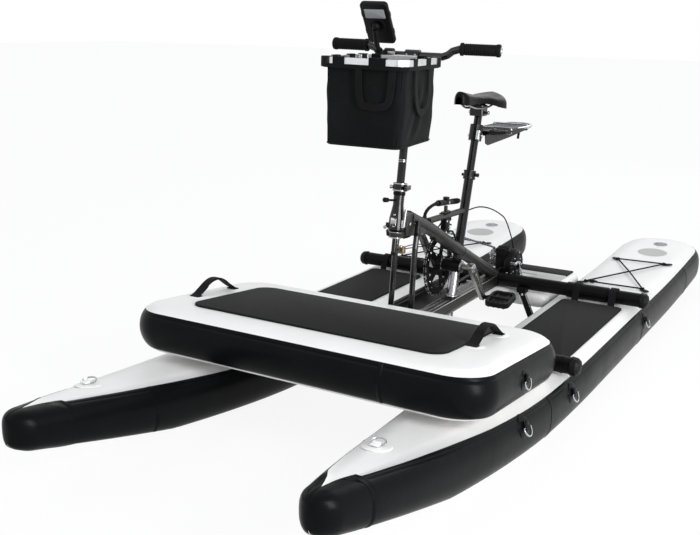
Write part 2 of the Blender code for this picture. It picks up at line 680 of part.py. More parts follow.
def make_steering():
    axis = steer_axis()
    foot = steer_point(0)
    # The fixed head lug that carries the steering, and the column that turns in it
    lug = [(-0.03, 0.0085), (-0.03, 0.0165), (-0.012, 0.0195), (-0.012, 0.0085), (-0.03, 0.0085)]
    head = turned(lug, foot, axis, 20)
    arm_base = foot - axis * 0.021
    neck = block(arm_base + Vector((0, 0.032, -0.003)), (0.026, 0.046, 0.016))
    lug_bodies = [place("lug", head, "tube_black"), place("neck", neck, "tube_black")]
    combine(bpy.data.objects["main_tube_front"], lug_bodies, "UNION")
    cut(bpy.data.objects["main_tube_front"], turned([(-0.06, 0.0087), (0.06, 0.0087)], foot, axis, 20))
    base = [(-0.0115, 0.021), (-0.004, 0.0245), (0.0, 0.0245)]
    column = [(-0.075, 0.008), (-0.01, 0.008)]
    arm = steered(block(foot - axis * 0.072 + Vector((0, 0.0198, -0.004)), (0.014, 0.0536, 0.01)))
    base_bodies = [turned(base, foot, axis, 20), turned(column, foot, axis, 20), arm]
    joined("steering_base", "tube_black", base_bodies)
    block_at = foot - axis * 0.072 + Vector((0, 0.058, -0.006))
    place("cable_block", steered(block(block_at, (0.028, 0.022, 0.02), radius=0.004)), "bronze")
    # The folding handlepost stands on the base: a flared shoe, then the lower post with a bore
    shoe = [(0.0006, 0.0129), (0.0006, 0.0245), (0.03, 0.0235), (0.055, 0.019), (0.07, POST_RADIUS),
            (0.111, POST_RADIUS), (0.111, 0.0129), (0.0006, 0.0129)]
    post = place("handlepost", turned(shoe, foot, axis, 20), "tube_black")
    upright = Matrix.Rotation(-STEER_LEAN, 3, "X")
    hinge_at = foot - Vector((0.0245, 0, 0))
    knuckle = steered(block(hinge_at + axis * 0.0082, (0.010, 0.026, 0.014), upright))
    combine(post, [place("knuckle", knuckle, "tube_black")], "UNION")
    latch_at = foot + axis * 0.084
    lever = [(0.0, 0.0035), (0.028, 0.0035), (0.03, 0.007), (0.044, 0.0075), (0.047, 0.005)]
    forward = Vector((-0.45, -math.cos(STEER_LEAN), math.sin(STEER_LEAN))).normalized()
    spindle = latch_at + forward * (POST_RADIUS + SEAT_GAP)
    place("fold_latch", steered(turned(lever, spindle, forward, 14)), "black_plastic")
    # The clamp at the post's top, its lever, and the telescoping stem
    clamp_at = foot + axis * 0.1116
    clamp = [(0.0, 0.0129), (0.0, 0.021), (0.026, 0.021), (0.026, 0.0129), (0.0, 0.0129)]
    place("post_clamp", turned(clamp, clamp_at, axis, 20), "polished")
    lever_at = clamp_at + axis * 0.013 + Vector((0.0264, 0.010, 0))
    lever = block(lever_at - Vector((0, 0.0162, 0)), (0.01, 0.042, 0.012), radius=0.0048)
    place("post_lever", steered(lever), "polished")
    PIVOTS["post_lever"] = (turn_point(lever_at), turn_way(Vector((0, 0, 1))))
    PIVOTS["fold_latch"] = (turn_point(spindle), turn_way(forward))
    straight_ahead = Vector((0, -math.cos(STEER_LEAN), math.sin(STEER_LEAN)))
    PIVOTS["handlepost"] = (turn_point(hinge_at), turn_way(straight_ahead))
    bar_centre = steer_point((BAR_Z - STEER_FOOT[1]) / math.cos(STEER_LEAN))
    stem_top = bar_centre - axis * 0.014
    bar_clamp = steered(turned([(-0.022, 0.017), (0.022, 0.017)], bar_centre, (1, 0, 0), 16))
    body = joined("stem_post", "tube_black", [rod(foot + axis * 0.03, stem_top, STEM_RADIUS, 16), bar_clamp])
    cut(body, bar_cutter(bar_centre, 0.1, BAR_RADIUS + SLIDE_GAP))
    make_cockpit(bar_centre)


def make_cockpit(bar_centre):
    rise = BAR_RISE
    sweep = (BAR_HALF_LENGTH - 0.108) * GRIP_SWEEP
    half = BAR_HALF_LENGTH
    route = []
    reaches = ((half, 1.0), *BAR_RISE_SHARES)
    for side in (-1, 1):
        for reach, share in reaches[::1 if side < 0 else -1]:
            back = sweep - min(half - reach, half - 0.108) * GRIP_SWEEP
            route.append(bar_centre + Vector((side * reach, back, rise * share)))
    place("handlebar", steered(skin(tube_rings(smooth_path(route, 0.03), BAR_RADIUS, 12))), "tube_black")
    for name, side in (("left", 1), ("right", -1)):
        end = bar_centre + Vector((side * (half + 0.001), sweep, rise))
        along = Vector((-side, -GRIP_SWEEP, 0)).normalized()
        bore = BAR_RADIUS + SLIDE_GAP
        length = GRIP_LENGTH
        grip = [(-0.006, 0.0), (-0.006, GRIP_RADIUS), (0.0, 0.0185), (0.004, GRIP_RADIUS)]
        grip += [(length - 0.008, 0.0155), (length - 0.004, 0.0185), (length, GRIP_RADIUS)]
        grip += [(length, bore), (0.0, bore)]
        profile = [(a, max(r, 0.0004)) for a, r in grip]
        place("grip_" + name, steered(turned(profile, end, along, 14)), "black_rubber")
    make_basket(bar_centre)
    make_phone(bar_centre)


def make_basket(bar_centre):
    centre = at(0, BASKET_Y, BASKET_RIM_Z)
    rim_outer = rounded_outline(BASKET_RIM[0] / 2, BASKET_RIM[1] / 2, 0.04, 4)
    rim_inner = rounded_outline(BASKET_RIM[0] / 2 - 0.011, BASKET_RIM[1] / 2 - 0.011, 0.03, 4)
    rings = []
    half_height = 0.012
    for outline, rise in ((rim_outer, -1), (rim_outer, 1), (rim_inner, 1), (rim_inner, -1)):
        rings.append([centre + Vector((x, y, rise * half_height)) for x, y in outline])
    rim = skin(rings, closed=True)
    reach = bar_centre.y - 0.012 - (centre.y + BASKET_RIM[1] / 2 - 0.004)
    bracket_at = Vector((0, centre.y + BASKET_RIM[1] / 2 - 0.004 + reach / 2, centre.z))
    bracket = block(bracket_at, (0.09, reach, 0.022))
    body = joined("basket_rim", "rim_aluminium", [steered(rim), steered(bracket)])
    stem = rod(bar_centre - steer_axis() * 0.1, bar_centre + steer_axis() * 0.02, STEM_RADIUS + 0.001)
    cut(body, bar_cutter(bar_centre, 0.06, BAR_RADIUS + 0.0012), bar_cutter(bar_centre, 0.024, 0.0185), stem)
    # The bag hangs inside the rim and tapers to its stiff base
    top_z = BASKET_RIM_Z - 0.0125
    wall = 0.005
    rings = []
    half_way = (top_z + BASKET_BASE_Z) / 2
    outside = ((0, BASKET_BASE_Z, 0), (0.5, half_way, 0), (1, top_z, 0))
    inside = ((1, top_z, wall), (0.5, half_way, wall), (0, BASKET_BASE_Z + 0.006, wall))
    for share, level, inset in outside + inside:
        size_x = BASKET_BASE[0] + (BASKET_TOP[0] - BASKET_BASE[0]) * share
        size_y = BASKET_BASE[1] + (BASKET_TOP[1] - BASKET_BASE[1]) * share
        outline = rounded_outline(size_x / 2 - inset, size_y / 2 - inset, 0.035 - inset, 4)
        rings.append([at(x, BASKET_Y + y, level) for x, y in outline])
    place("basket_bag", steered(skin(rings)), "bag_cloth")


def make_phone(bar_centre):
    clamp_x = -0.075
    foot = bar_centre + Vector((clamp_x, 0, 0))
    case_centre = at(-0.084, -0.211, 0.968)
    lean = math.radians(38)
    turn = Matrix.Rotation(lean, 3, "X")
    normal = turn @ Vector((0, 1, 0))
    back = case_centre
    ring = turned(sleeve_profile(-0.013, 0.013, BAR_RADIUS + SLIDE_GAP, 0.0185), foot, (1, 0, 0), 16)
    # The arm swings clear under the case, which tilts on the ball
    up = turn @ Vector((0, 0, 1))
    route = [foot - normal * 0.0165, back - up * 0.1 - normal * 0.03]
    route += [back - up * 0.05 - normal * 0.034, back - up * 0.004 - normal * 0.022]
    arm = skin(tube_rings(route, 0.008, 12))
    ball_at = back - normal * 0.0122
    ball_profile = [(-0.0115, 0.003), (-0.008, 0.009), (0, 0.0118), (0.008, 0.009), (0.0115, 0.003)]
    ball = turned(ball_profile, ball_at, normal, 12)
    PIVOTS["phone_case"] = (turn_point(ball_at), turn_way(Vector((1, 0, 0))))
    joined("phone_mount", "black_plastic", [steered(ring), steered(arm), steered(ball)])
    outline = rounded_outline(0.0425, 0.071, 0.012, 4)
    case = extruded(outline, case_centre, turn @ Vector((1, 0, 0)), up, normal * 0.016)
    place("phone_case", steered(case), "black_plastic")


def make_saddle():
    axis = seat_axis()
    head = at(0, *SEAT_HEAD)
    post = rod(at(0, seat_line(0.27), 0.27), head + axis * 0.012, SEAT_POST_RADIUS, 16)
    cradle = block(head + Vector((0, 0.002, 0.027)), (0.05, 0.05, 0.036), radius=0.008)
    joined("seat_post", "tube_black", [post, cradle])
    # The saddle is lofted from its nose to its wide rear, with a crowned top and a flat underside
    nose = 0.217
    rear = 0.50
    steps = 12
    rings = []
    for k in range(steps + 1):
        run = k / steps
        station = nose + (rear - nose) * run
        half = 0.02 + 0.052 / (1 + math.exp(-(run - 0.55) * 11))
        half *= max(0.35, min(1, math.sqrt(1 - max(0, (run - 0.82) / 0.2) ** 2)))
        half *= max(0.55, min(1, (run + 0.08) / 0.16))
        top = 0.739 + 0.012 * abs(run - 0.45) ** 1.6 / 0.4 - 0.006 * max(0.0, run - 0.6)
        bottom = 0.7025 + 0.012 * max(0, 0.3 - run)
        ring = []
        for j in range(12):
            angle = math.pi * j / 11
            x = half * math.cos(angle)
            lift = math.sin(angle) ** 0.6
            ring.append(at(x, station, bottom + (top - bottom) * max(lift, 0.0)))
        rings.append(ring)
    place("saddle", skin(rings), "black_rubber")


def make_rack():
    axis = seat_axis()
    low = at(0, seat_line(0.581), 0.581)
    clamp = sleeve_profile(0.0, 0.055, SEAT_POST_RADIUS + SEAT_GAP, 0.023)
    place("rack_clamp", turned(clamp, low, axis, 16), "polished")
    # The rack: a bent tube border, a centre spine and cross bars, and two flat panels between them
    level = 0.603
    radius = 0.006
    half = 0.062
    front = 0.425
    rear = 0.79
    left_side = [(0.018, front), (half, front + 0.06), (half, rear - 0.05), (half - 0.03, rear)]
    right_side = [(-x, y) for x, y in reversed(left_side)]
    loop = smooth_path([at(x, y, level) for x, y in left_side + right_side], 0.04)
    spine = skin(tube_rings([at(0, 0.38, level), at(0, rear, level)], radius, 10))
    bars = [skin(tube_rings([at(-half, y, level), at(half, y, level)], 0.0045, 8)) for y in (0.491, 0.7385)]
    front_bar = block(at(0, front, level), (0.056, 0.02, 0.017))
    panels = [block(at(side * 0.0335, 0.614, level + 0.0013), (0.0545, 0.262, 0.0047)) for side in (1, -1)]
    tail_route = [at(0, rear, level), at(0, rear + 0.006, level - 0.02), at(0, rear - 0.004, level - 0.055)]
    tail = skin(tube_rings(smooth_path(tail_route, 0.02), 0.005, 8))
    border = skin(tube_rings(loop, radius, 10))
    body = joined("rear_rack", "tube_black", [border, spine, front_bar, tail, *bars, *panels])
    cut(body, rod(low - axis * 0.01, low + axis * 0.07, 0.0233))


def toothed(centre, teeth, radius, depth, thick):
    """A toothed wheel on the X axis, with round-backed teeth."""
    outline = []
    for k in range(teeth):
        for share, level in ((0.0, 0.0), (0.4, 0.0), (0.6, 1.0), (0.8, 1.0)):
            angle = 2 * math.pi * (k + share) / teeth
            reach = radius - depth * (1 - level)
            outline.append((reach * math.cos(angle), reach * math.sin(angle)))
    base = Vector(centre) - Vector((thick / 2, 0, 0))
    return extruded(outline, base, (0, 1, 0), (0, 0, 1), (thick, 0, 0))


def make_crank():
    centre = at(0, CRANK_Y, CRANK_Z)
    shell = [(-0.033, 0.0092), (-0.033, 0.021), (0.033, 0.021), (0.033, 0.0092), (-0.033, 0.0092)]
    body = place("bottom_bracket", turned(shell, centre, (1, 0, 0), 20), "tube_black")
    low = at(0, seat_line(0.0), 0.0)
    high = at(0, seat_line(0.5), 0.5)
    cut(body, rod(low, high, SEAT_TUBE_RADIUS + SEAT_GAP * 1.5))
    arm_way = Vector((0, math.cos(CRANK_ANGLE), math.sin(CRANK_ANGLE)))
    side_way = Vector((0, -math.sin(CRANK_ANGLE), math.cos(CRANK_ANGLE)))
    spindle_ends = [centre + Vector((reach, 0, 0)) for reach in (-CRANK_ARM_X - 0.003, CRANK_ARM_X + 0.009)]
    bodies = [rod(*spindle_ends, 0.0085, 16)]
    for side in (1, -1):
        outline = crank_outline()
        base = centre + Vector((side * CRANK_ARM_X - 0.0065, 0, 0))
        bodies.append(extruded(outline, base, arm_way * side, side_way, (0.013, 0, 0)))
    joined("crankset", "polished", bodies)
    make_chainwheel(centre)
    for name, side in (("left", 1), ("right", -1)):
        end = centre + arm_way * (side * CRANK_LENGTH) + Vector((side * CRANK_ARM_X, 0, 0))
        make_pedal(name, side, end)
        PIVOTS["pedal_" + name] = (end, Vector((1, 0, 0)))
    PIVOTS["crankset"] = (centre, Vector((1, 0, 0)))
    PIVOTS["chainwheel"] = PIVOTS["crankset"]


def crank_outline():
    """An arm that narrows from its boss to its pedal eye."""
    out = []
    for k in range(9):
        angle = math.radians(90 + 180 * k / 8)
        out.append((0.0175 * math.cos(angle), 0.0175 * math.sin(angle)))
    for k in range(7):
        angle = math.radians(-90 + 180 * k / 6)
        out.append((CRANK_LENGTH + 0.0125 * math.cos(angle), 0.0125 * math.sin(angle)))
    return out


def make_chainwheel(centre):
    middle = centre + Vector((CHAINWHEEL_X, 0, 0))
    blank = toothed(middle, CHAINWHEEL_TEETH, CHAINWHEEL_RADIUS, TOOTH_DEPTH, TOOTH_THICK)
    wheel = place("chainwheel", blank, "tube_black")
    cuts = []
    arms = 5
    for k in range(arms):
        # Each window between two spider arms is a ring sector
        start = 2 * math.pi * (k + 0.14) / arms
        stop = 2 * math.pi * (k + 0.86) / arms
        outline = []
        for i in range(7):
            angle = start + (stop - start) * i / 6
            outline.append((0.082 * math.cos(angle), 0.082 * math.sin(angle)))
        for i in range(5):
            angle = stop - 0.16 + (start - stop + 0.32) * i / 4
            outline.append((0.036 * math.cos(angle), 0.036 * math.sin(angle)))
        cuts.append(extruded(outline, middle - Vector((0.02, 0, 0)), (0, 1, 0), (0, 0, 1), (0.04, 0, 0)))
    cuts.append(rod(middle - Vector((0.02, 0, 0)), middle + Vector((0.02, 0, 0)), 0.0088, 16))
    cut(wheel, *cuts)


def make_pedal(name, side, end):
    out = Vector((side, 0, 0))
    start = end + out * (0.0065 + SEAT_GAP)
    axle = rod(start, start + out * 0.105, 0.007, 12)
    centre = start + out * 0.062
    turn = Matrix.Rotation(math.radians(12), 3, "X")
    body = block(centre, (0.088, 0.096, 0.018), turn, radius=0.018)
    pedal = joined("pedal_" + name, "black_plastic", [axle, body])
    for shift in (-0.03, 0.03):
        window = block(centre + turn @ Vector((0, shift, 0)), (0.05, 0.026, 0.06), turn, radius=0.008)
        cut(pedal, window)


def make_gear():
    centre = at(0, GEAR_Y, GEAR_Z)
    shaft_at = at(0, GEAR_Y, SHAFT_Z)
    drum = [(0.022, 0.03), (0.022, GEAR_RADIUS - 0.004), (0.027, GEAR_RADIUS), (0.05, GEAR_RADIUS)]
    drum += [(0.056, GEAR_RADIUS - 0.006), (0.056, 0.04), (0.062, 0.037)]
    drum += [(0.062, 0.012), (0.067, 0.012), (0.067, 0.004)]
    drum_body = turned(drum, centre, (1, 0, 0), 28)
    housing = block(centre + Vector((0.004, -0.014, 0.008)), (0.046, 0.056, 0.086))
    sleeve_ring = block(at(0, LEG_Y, 0.035), (0.052, 0.052, 0.03), radius=0.02)
    foot = block(at(0, REAR_BEAM_Y + 0.045, 0.0255), (0.09, 0.06, 0.04))
    body = joined("gearbox", "tube_black", [housing, drum_body, sleeve_ring, foot])
    cut(body, rod(at(0, LEG_Y, -0.2), at(0, LEG_Y, 0.3), 0.0205 + SLIDE_GAP, 20),
        rod(shaft_at - Vector((0.1, 0, 0)), shaft_at + Vector((0.012, 0, 0)), 0.0067, 12),
        beam_cutter(REAR_BEAM_Y, REAR_BEAM_Z))
    shaft_ends = [shaft_at + Vector((reach, 0, 0)) for reach in (CHAINWHEEL_X - 0.012, 0.0115)]
    shaft = rod(*shaft_ends, 0.006, 12)
    wheel_at = shaft_at + Vector((CHAINWHEEL_X, 0, 0))
    wheel = toothed(wheel_at, SPROCKET_TEETH, SPROCKET_RADIUS, TOOTH_DEPTH, TOOTH_THICK)
    joined("gear_sprocket", "polished", [wheel, shaft])
    PIVOTS["gear_sprocket"] = (shaft_at, Vector((1, 0, 0)))
    make_chain()
    make_leg()


def belt_points(pitch_step):
    """Points and outward normals of a belt round the chainwheel and the sprocket, at even steps."""
    big, small = CHAINWHEEL_RADIUS + 0.0042, SPROCKET_RADIUS + 0.0042
    span = Vector((GEAR_Y - CRANK_Y, SHAFT_Z - CRANK_Z))
    base = math.atan2(span.y, span.x)
    spread = math.acos((big - small) / span.length)
    run = math.sqrt(span.length ** 2 - (big - small) ** 2)
    big_arc = big * (2 * math.pi - 2 * spread)
    small_arc = small * 2 * spread
    total = big_arc + small_arc + 2 * run
    count = round(total / pitch_step)
    out = []
    for k in range(count):
        s = total * k / count
        if s < big_arc:
            angle = base + spread + s / big
            normal = Vector((math.cos(angle), math.sin(angle)))
            out.append((Vector((CRANK_Y, CRANK_Z)) + normal * big, normal))
            continue
        s -= big_arc
        angle = base + 2 * math.pi - spread
        normal = Vector((math.cos(angle), math.sin(angle)))
        if s < run:
            along = Vector((-normal.y, normal.x))
            out.append((Vector((CRANK_Y, CRANK_Z)) + normal * big + along * s, normal))
            continue
        s -= run
        if s < small_arc:
            turn = angle + s / small
            normal = Vector((math.cos(turn), math.sin(turn)))
            out.append((Vector((GEAR_Y, SHAFT_Z)) + normal * small, normal))
            continue
        s -= small_arc
        angle = base + spread
        normal = Vector((math.cos(angle), math.sin(angle)))
        along = Vector((-normal.y, normal.x))
        out.append((Vector((GEAR_Y, SHAFT_Z)) + normal * small + along * s, normal))
    return out


def make_chain():
    """The chain's side plates as one waisted band, clear of the teeth's tips."""
    points = belt_points(CHAIN_PITCH / 2)
    rings = []
    for k, (spot, normal) in enumerate(points):
        half = 0.0038 if k % 2 else 0.0026
        inner = spot - normal * min(half, 0.0037)
        outer = spot + normal * half
        low_x = CHAINWHEEL_X - CHAIN_HALF_WIDTH
        high_x = CHAINWHEEL_X + CHAIN_HALF_WIDTH
        rings.append([at(low_x, *inner), at(high_x, *inner), at(high_x, *outer), at(low_x, *outer)])
    place("chain", skin(rings, closed=True), "polished")


def make_leg():
    top = 0.1
    bore = LEG_RADIUS + SLIDE_GAP
    low = -0.024
    sleeve = sleeve_profile(low, top, bore, 0.0205)
    place("leg_sleeve", turned(sleeve, at(0, LEG_Y, 0), (0, 0, 1), 20), "polished")
    tube_body = rod(at(0, LEG_Y, PROP_Z - 0.008), at(0, LEG_Y, top - 0.004), LEG_RADIUS, 18)
    pod_profile = [(-0.035, 0.006), (-0.02, 0.016), (0.0, 0.0185), (0.034, 0.0165)]
    pod = turned(pod_profile, at(0, LEG_Y, PROP_Z), (0, 1, 0), 18)
    body = joined("drive_leg", "polished", [tube_body, pod])
    cut(body, rod(at(0, LEG_Y + 0.015, PROP_Z), at(0, PROP_Y, PROP_Z), 0.0057, 12))
    hub_profile = [(-0.031, 0.005), (-0.014, 0.005), (-0.0145, 0.0135)]
    hub_profile += [(0.008, 0.0135), (0.014, 0.009), (0.018, 0.003)]
    hub = turned(hub_profile, at(0, PROP_Y, PROP_Z), (0, 1, 0), 18)
    bodies = [hub] + [blade(k) for k in range(PROP_BLADES)]
    joined("propeller", "black_plastic", bodies)
    PIVOTS["propeller"] = (at(0, PROP_Y, PROP_Z), Vector((0, 1, 0)))
    PIVOTS["leg_sleeve"] = (at(0, LEG_Y, 0), Vector((0, 0, 1)))
    PIVOTS["drive_leg"] = (at(0, LEG_Y, 0), Vector((0, 0, -1)))


def blade(index):
    """One pitched propeller blade, lofted from root to rounded tip."""
    turn = Matrix.Rotation(2 * math.pi * index / PROP_BLADES, 3, "Y")
    rings = []
    steps = 6
    for k in range(steps + 1):
        run = k / steps
        reach = 0.009 + (PROP_RADIUS - 0.009) * run
        chord = (0.011 + 0.012 * math.sin(math.pi * min(run * 0.85 + 0.1, 1))) * (1 if k < steps else 0.45)
        pitch = math.radians(58 - 34 * run)
        thick = 0.0022 - 0.0012 * run
        across = Vector((math.cos(pitch), math.sin(pitch) * 0.75, 0))
        normal = Vector((-across.y, across.x, 0)).normalized()
        ring = []
        for u, v in ((-1, 0), (-0.4, 1), (0.4, 1), (1, 0), (0.4, -1), (-0.4, -1)):
            local = across * (u * chord) + normal * (v * thick) + Vector((0, 0, reach))
            ring.append(at(0, PROP_Y, PROP_Z) + turn @ local)
        rings.append(ring)
    return skin(rings)


def make_controls():
    # The lift lever swings on a pin at the top of its pedestal
    pin = at(0, 0.15, 0.397)
    handle_ends = [pin + Vector((0, 0.1, -0.010)), pin + Vector((0, -0.062, 0.006))]
    handle = skin(tube_rings(handle_ends, [0.0085, 0.0105], 12))
    knob = block(pin + Vector((0, 0, 0.0075)), (0.018, 0.018, 0.021), radius=0.004)
    joined("lift_lever", "black_plastic", [handle, knob])
    PIVOTS["lift_lever"] = (pin, Vector((1, 0, 0)))
    hose = smooth_path([at(0, *spot) for spot in HOSE_ROUTE], 0.014)
    tube("lift_hose", hose, 0.0055, "black_rubber", 10)
    cable = smooth_path([*(at(0, *spot) for spot in CABLE_ROUTE), at(0.005, 0.80, 0.105)], 0.03)
    tube("lift_cable", cable, 0.0024, "black_rubber", 8)


def make_bungees():
    """A crossed shock cord between four webbing tabs on each tail."""
    for name, side, lead in (("left", 1, 0.0), ("right", -1, FAR_FLOAT_LEAD)):
        corners = []
        for x, y in ((0.284, 0.866), (0.502, 0.872), (0.488, 1.288), (0.298, 1.275)):
            corners.append((side * x, y - lead))
        if side < 0:
            corners = [(-0.502, 0.872 - lead), (-0.284, 0.866 - lead)]
            corners += [(-0.298, 1.275 - lead), (-0.488, 1.288 - lead)]
        tops = [Vector((x, y, rocker(y + lead) + 0.0075)) for x, y in corners]
        bodies = []
        for a, b in ((0, 1), (1, 3), (3, 2), (2, 0)):
            lift = 0.0 if (a, b) != (2, 0) else 0.0022
            ends = [tops[a], (tops[a] + tops[b]) / 2 + Vector((0, 0, lift + 0.001)), tops[b]]
            bodies.append(skin(tube_rings([at(*p) for p in ends], 0.003, 6)))
        for top in tops:
            away_x = math.copysign(1, top.x - side * FLOAT_X)
            away_y = math.copysign(1, top.y - (1.078 - lead))
            outward = Vector((away_x, away_y, 0)).normalized()
            turn = Matrix.Rotation(math.atan2(outward.y, outward.x), 3, "Z")
            spot = at(top.x, top.y, top.z) + outward * 0.012
            bodies.append(block(spot, (0.05, 0.022, 0.009), turn, radius=0.006))
        joined("bungee_" + name, "webbing", bodies)


def set_origins():
    """Put each moving piece's origin on its joint's axis."""
    steering = (at(0, *STEER_FOOT), steer_axis())
    for name in ("steering_base", "cable_block"):
        PIVOTS[name] = steering
    for name in ("stem_post", "handlebar", "grip_left", "grip_right"):
        PIVOTS[name] = steering
    for name in ("basket_rim", "basket_bag", "phone_mount"):
        PIVOTS[name] = steering
    PIVOTS["post_clamp"] = PIVOTS["handlepost"]
    for name in ("seat_post", "saddle", "rack_clamp", "rear_rack"):
        PIVOTS[name] = (at(0, *SEAT_HEAD), seat_axis())
    for name, (point, _axis) in PIVOTS.items():
        piece = bpy.data.objects[name]
        piece.data.transform(Matrix.Translation(-point))
        piece.location = point


clear_scene()
make_floats()
make_deck()
make_rear_panel()
make_beams()
make_keel()
make_frame()
make_seat_tube()
make_front_legs()
make_stays()
make_steering()
make_saddle()
make_rack()
make_crank()
make_gear()
make_controls()
make_bungees()
set_origins()
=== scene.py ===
"""The looks of a pedal catamaran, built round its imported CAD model: skins, foam, cloth, cords, fittings,
materials, floor, light and the photograph's camera. Metres, +Z up, the bow points to -Y."""
import math

import bmesh
import bpy
from mathutils import Matrix, Vector, noise


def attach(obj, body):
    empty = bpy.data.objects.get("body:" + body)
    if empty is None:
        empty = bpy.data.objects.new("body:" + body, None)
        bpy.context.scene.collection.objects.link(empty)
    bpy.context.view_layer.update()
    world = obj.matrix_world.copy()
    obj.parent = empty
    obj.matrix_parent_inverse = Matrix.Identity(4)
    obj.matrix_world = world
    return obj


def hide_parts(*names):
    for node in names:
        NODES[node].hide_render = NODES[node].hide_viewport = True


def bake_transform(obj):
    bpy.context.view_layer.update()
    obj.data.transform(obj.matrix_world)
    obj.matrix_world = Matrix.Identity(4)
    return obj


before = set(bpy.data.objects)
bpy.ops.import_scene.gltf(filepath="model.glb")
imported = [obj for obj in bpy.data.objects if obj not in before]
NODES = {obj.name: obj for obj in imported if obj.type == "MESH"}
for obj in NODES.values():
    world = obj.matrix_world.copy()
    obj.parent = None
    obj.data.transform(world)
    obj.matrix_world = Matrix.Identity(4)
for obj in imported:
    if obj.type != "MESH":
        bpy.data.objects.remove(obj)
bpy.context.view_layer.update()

# The craft's measures, as in its CAD source
FLOAT_THICK = 0.15
FLOAT_X = 0.396
FLOAT_HALF_WIDTH = 0.175
FLOAT_TIP = -1.312
FLOAT_TAIL = 1.735
FAR_FLOAT_LEAD = 0.044
NOSE_BLUNT = {"inner": 0.169, "outer": 0.231}
NOSE_POWER = {"inner": 0.822, "outer": 0.772}
NOSE_TAPER_END = 0.1
NOSE_CAP = 0.05
NOSE_THICK = 0.096
THIN_START = -0.85
WALL_SQUARENESS = 2.7
TAIL_CAP = 0.16
ROCKER_START = -0.25
ROCKER_SHAPE = (0.131, 0.59)
TAIL_RISE_START = 0.9
TAIL_RISE = 0.034
MIDSHIP = (FLOAT_TAIL + FLOAT_TIP - FAR_FLOAT_LEAD) / 2
DECK_HALF_WIDTH = 0.548
DECK_FRONT = -0.81
DECK_REAR = -0.197
DECK_CORNER = 0.11
DECK_THICK = 0.132
DECK_TOP_FRONT = 0.194
DECK_SLOPE = -0.098
BEAMS = ((-0.16, 0.0278), (0.622, 0.031))
STEER_FOOT = (-0.206, 0.372)
STEER_LEAN = math.radians(8.5)
STEER_TURN = math.radians(6.3)
SEAT_FOOT = (0.222, 0.041)
SEAT_HEAD = (0.386, 0.657)
SIDES = (("left", 1), ("right", -1))

# The seam between white top and black wall: stations with its share of the way up the float's side. Forward
# of the fourth it crosses the top of the nose, where 2 is the middle and 3 the other edge.
SEAM_STEPS = ((-1.26, 3.0), (-1.199, 1.744), (-1.1563, 1.02), (-1.156, 0.96), (-1.14, 0.95), (-1.01, 0.89),
              (-0.85, 0.84), (-0.66, 0.795), (-0.46, 0.777))
INNER_SEAM_STEPS = ((-1.26, 1.0), (-1.2, 0.93), (-1.156, 0.82), (-1.01, 0.74), (-0.85, 0.72), (-0.46, 0.72))
LOW_SEAM_STEPS = ((-1.25, 0.0), (-1.16, 0.235), (-0.30, 0.235), (0.15, 0.14), (1.58, 0.14), (1.70, 0.07))
TAPE = 0.0009
GROOVE = -0.0003

# The photograph's camera: a level heading, a pitch and a roll, and a place in stations and heights
CAMERA_YAW = math.radians(30.2)
CAMERA_PITCH = math.radians(14.5)
CAMERA_ROLL = math.radians(-0.99)
CAMERA_PLACE = (1.314, -2.736, 0.983)
CAMERA_LENS = 961.9 / 700 * 36


def at(x, station, height):
    """A point given by its station and height, in the part's own frame."""
    return Vector((x, station - MIDSHIP, height + FLOAT_THICK))


def shift(x=0.0, y=0.0, z=0.0):
    return Vector((x, y, z))


def on_circle(count, turn=2 * math.pi):
    """Cosine and sine of equal steps round a circle."""
    return [(math.cos(turn * k / count), math.sin(turn * k / count)) for k in range(count)]


# Materials

